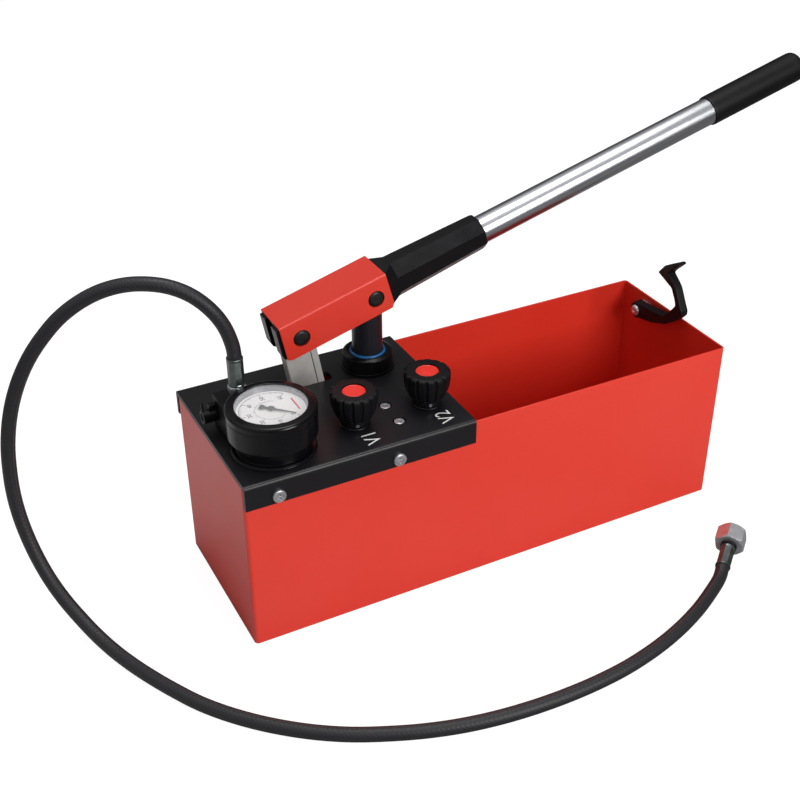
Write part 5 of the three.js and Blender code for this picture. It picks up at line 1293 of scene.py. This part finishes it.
# %% [markdown]
# ## CAD solids that stay
# The parts inside the tank and behind the gauge's dial keep their CAD solids, because
# their shapes are right, and get the finish of the real part.

# %% Finishes for the CAD solids
stay = {
    machined_steel: ["valve_block", "outlet_elbow", "pump_cylinder", "suction_ball",
                     "pressure_pipe", "link_base_pin", "valve_spindle_1", "valve_spindle_2"],
    black_steel: ["link_bracket"],
    brass: ["suction_strainer", "gauge_movement", "bourdon_tube"],
    rubber_and_shade_black: ["packing_seal"],
    zinc: ["hook_spacer"],
}
for material, names in stay.items():
    for name in names:
        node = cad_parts[name]
        node.data.materials.clear()
        node.data.materials.append(material)
print("CAD solids shown:", sum(len(names) for names in stay.values()))

# %% [markdown]
# ## Floor and light
# The object stands on a plain white floor. To the camera the floor adds a little light of
# its own, so it is white in the open and still keeps the object's soft shadow. In
# reflections it is bright behind and left of the object, grey in front and dark far away,
# as a paper sheet lit from one side is in a dark room. The left wall gets its pale sheen
# and the tube its dark streak from it. The world is white to the camera and softer as a
# light. In reflections it is dark at the horizon, with a ceiling and a left wall that grow
# brighter. One lamp from above lights the tops, one in front lights the long wall, and
# a low weak one behind, which reflections don't see, keeps the rear wall's colour true.

# %% Floor
bpy.ops.mesh.primitive_plane_add(size=30.0, location=(0, 0, -0.0004))
floor = bpy.context.object
floor.name = "studio_floor"
paper = bpy.data.materials.new("white_paper_floor")
paper.use_nodes = True
tree = paper.node_tree
tree.nodes.clear()


def ray_kinds(tree):
    """Two sockets: 1 for rays in a reflection, and 1 for rays that the camera sends out,
    also through the window."""
    path = add(tree, "ShaderNodeLightPath")
    direct = add(tree, "ShaderNodeMath", {
        0: path.outputs["Is Camera Ray"], 1: path.outputs["Is Transmission Ray"]},
        operation="MAXIMUM")
    return path.outputs["Is Glossy Ray"], direct.outputs["Value"]


glossy, direct = ray_kinds(tree)
matt = add(tree, "ShaderNodeBsdfDiffuse", {"Color": linear("E4E4E4")})
spot = add(tree, "ShaderNodeTexCoord").outputs["Object"]
behind = add(tree, "ShaderNodeVectorMath", {
    0: spot, 1: (-0.5, 0.85, 0.0)}, operation="DOT_PRODUCT")
turned_away = add(tree, "ShaderNodeMapRange", {
    "Value": behind.outputs["Value"], "From Min": -0.2, "From Max": 0.35})
near_tone = add(tree, "ShaderNodeMix", {
    0: turned_away.outputs["Result"], 6: linear("808080"), 7: linear("ECECEC")},
    data_type="RGBA")
distance = add(tree, "ShaderNodeVectorMath", {0: spot}, operation="LENGTH")
away = add(tree, "ShaderNodeMapRange", {
    "Value": distance.outputs["Value"], "From Min": 0.6, "From Max": 1.8})
sheet = add(tree, "ShaderNodeMix", {
    0: away.outputs["Result"], 6: near_tone.outputs[2], 7: linear("505050")},
    data_type="RGBA")
mirrored = add(tree, "ShaderNodeBsdfDiffuse", {"Color": sheet.outputs[2]})
plain = add(tree, "ShaderNodeMixShader", {
    0: glossy, 1: matt.outputs[0], 2: mirrored.outputs[0]})
faint = add(tree, "ShaderNodeBsdfDiffuse", {"Color": linear("808080")})
glow = add(tree, "ShaderNodeEmission", {"Color": (1, 1, 1, 1), "Strength": 0.93})
both = add(tree, "ShaderNodeAddShader", {0: faint.outputs[0], 1: glow.outputs[0]})
shown = add(tree, "ShaderNodeMixShader", {
    0: direct, 1: plain.outputs[0], 2: both.outputs[0]})
add(tree, "ShaderNodeOutputMaterial", {"Surface": shown.outputs[0]})
floor.data.materials.append(paper)

# %% World and lamps
world = bpy.data.worlds.new("studio")
world.use_nodes = True
bpy.context.scene.world = world
tree = world.node_tree
tree.nodes.clear()
glossy, direct = ray_kinds(tree)
heading = add(tree, "ShaderNodeTexCoord").outputs["Generated"]
leftwards = add(tree, "ShaderNodeVectorMath", {
    0: heading, 1: (-0.85, 0.2, 0.5)}, operation="DOT_PRODUCT")
side_wall = add(tree, "ShaderNodeMapRange", {
    "Value": leftwards.outputs["Value"], "From Min": 0.1, "From Max": 0.9,
    "To Min": 0.06, "To Max": 0.5}, interpolation_type="SMOOTHSTEP")
upwards = add(tree, "ShaderNodeSeparateXYZ", {"Vector": heading})
ceiling = add(tree, "ShaderNodeMapRange", {
    "Value": upwards.outputs["Z"], "From Min": 0.5, "From Max": 0.85,
    "To Min": 0.0, "To Max": 0.5}, interpolation_type="SMOOTHSTEP")
studio = add(tree, "ShaderNodeMath", {
    0: side_wall.outputs["Result"], 1: ceiling.outputs["Result"]}, operation="ADD")
mirrored = add(tree, "ShaderNodeMix", {
    0: glossy, 2: 0.27, 3: studio.outputs["Value"]})
strength = add(tree, "ShaderNodeMix", {
    0: direct, 2: mirrored.outputs[0], 3: 1.0})
sky = add(tree, "ShaderNodeBackground", {"Color": (1, 1, 1, 1), "Strength": strength.outputs[0]})
add(tree, "ShaderNodeOutputWorld", {"Surface": sky.outputs[0]})


def lamp(name, power, size, place, target):
    """A square area lamp at a place, turned to a target."""
    data = bpy.data.lights.new(name, "AREA")
    data.energy, data.size = power, size
    piece = linked(name, data)
    piece.location = place
    way = Vector(target) - Vector(place)
    piece.rotation_euler = way.to_track_quat("-Z", "Y").to_euler()
    return piece


lamp("key_lamp", 16.0, 0.9, (0.1, 0.0, 1.95), (0, 0, 0.15))
lamp("front_lamp", 34.0, 1.0, (0.5, -2.0, 1.1), (0, 0, 0.12))
rear = lamp("rear_lamp", 10.0, 1.2, (0.3, 2.1, 0.45), (0, 0, 0.1))
rear.visible_glossy = False
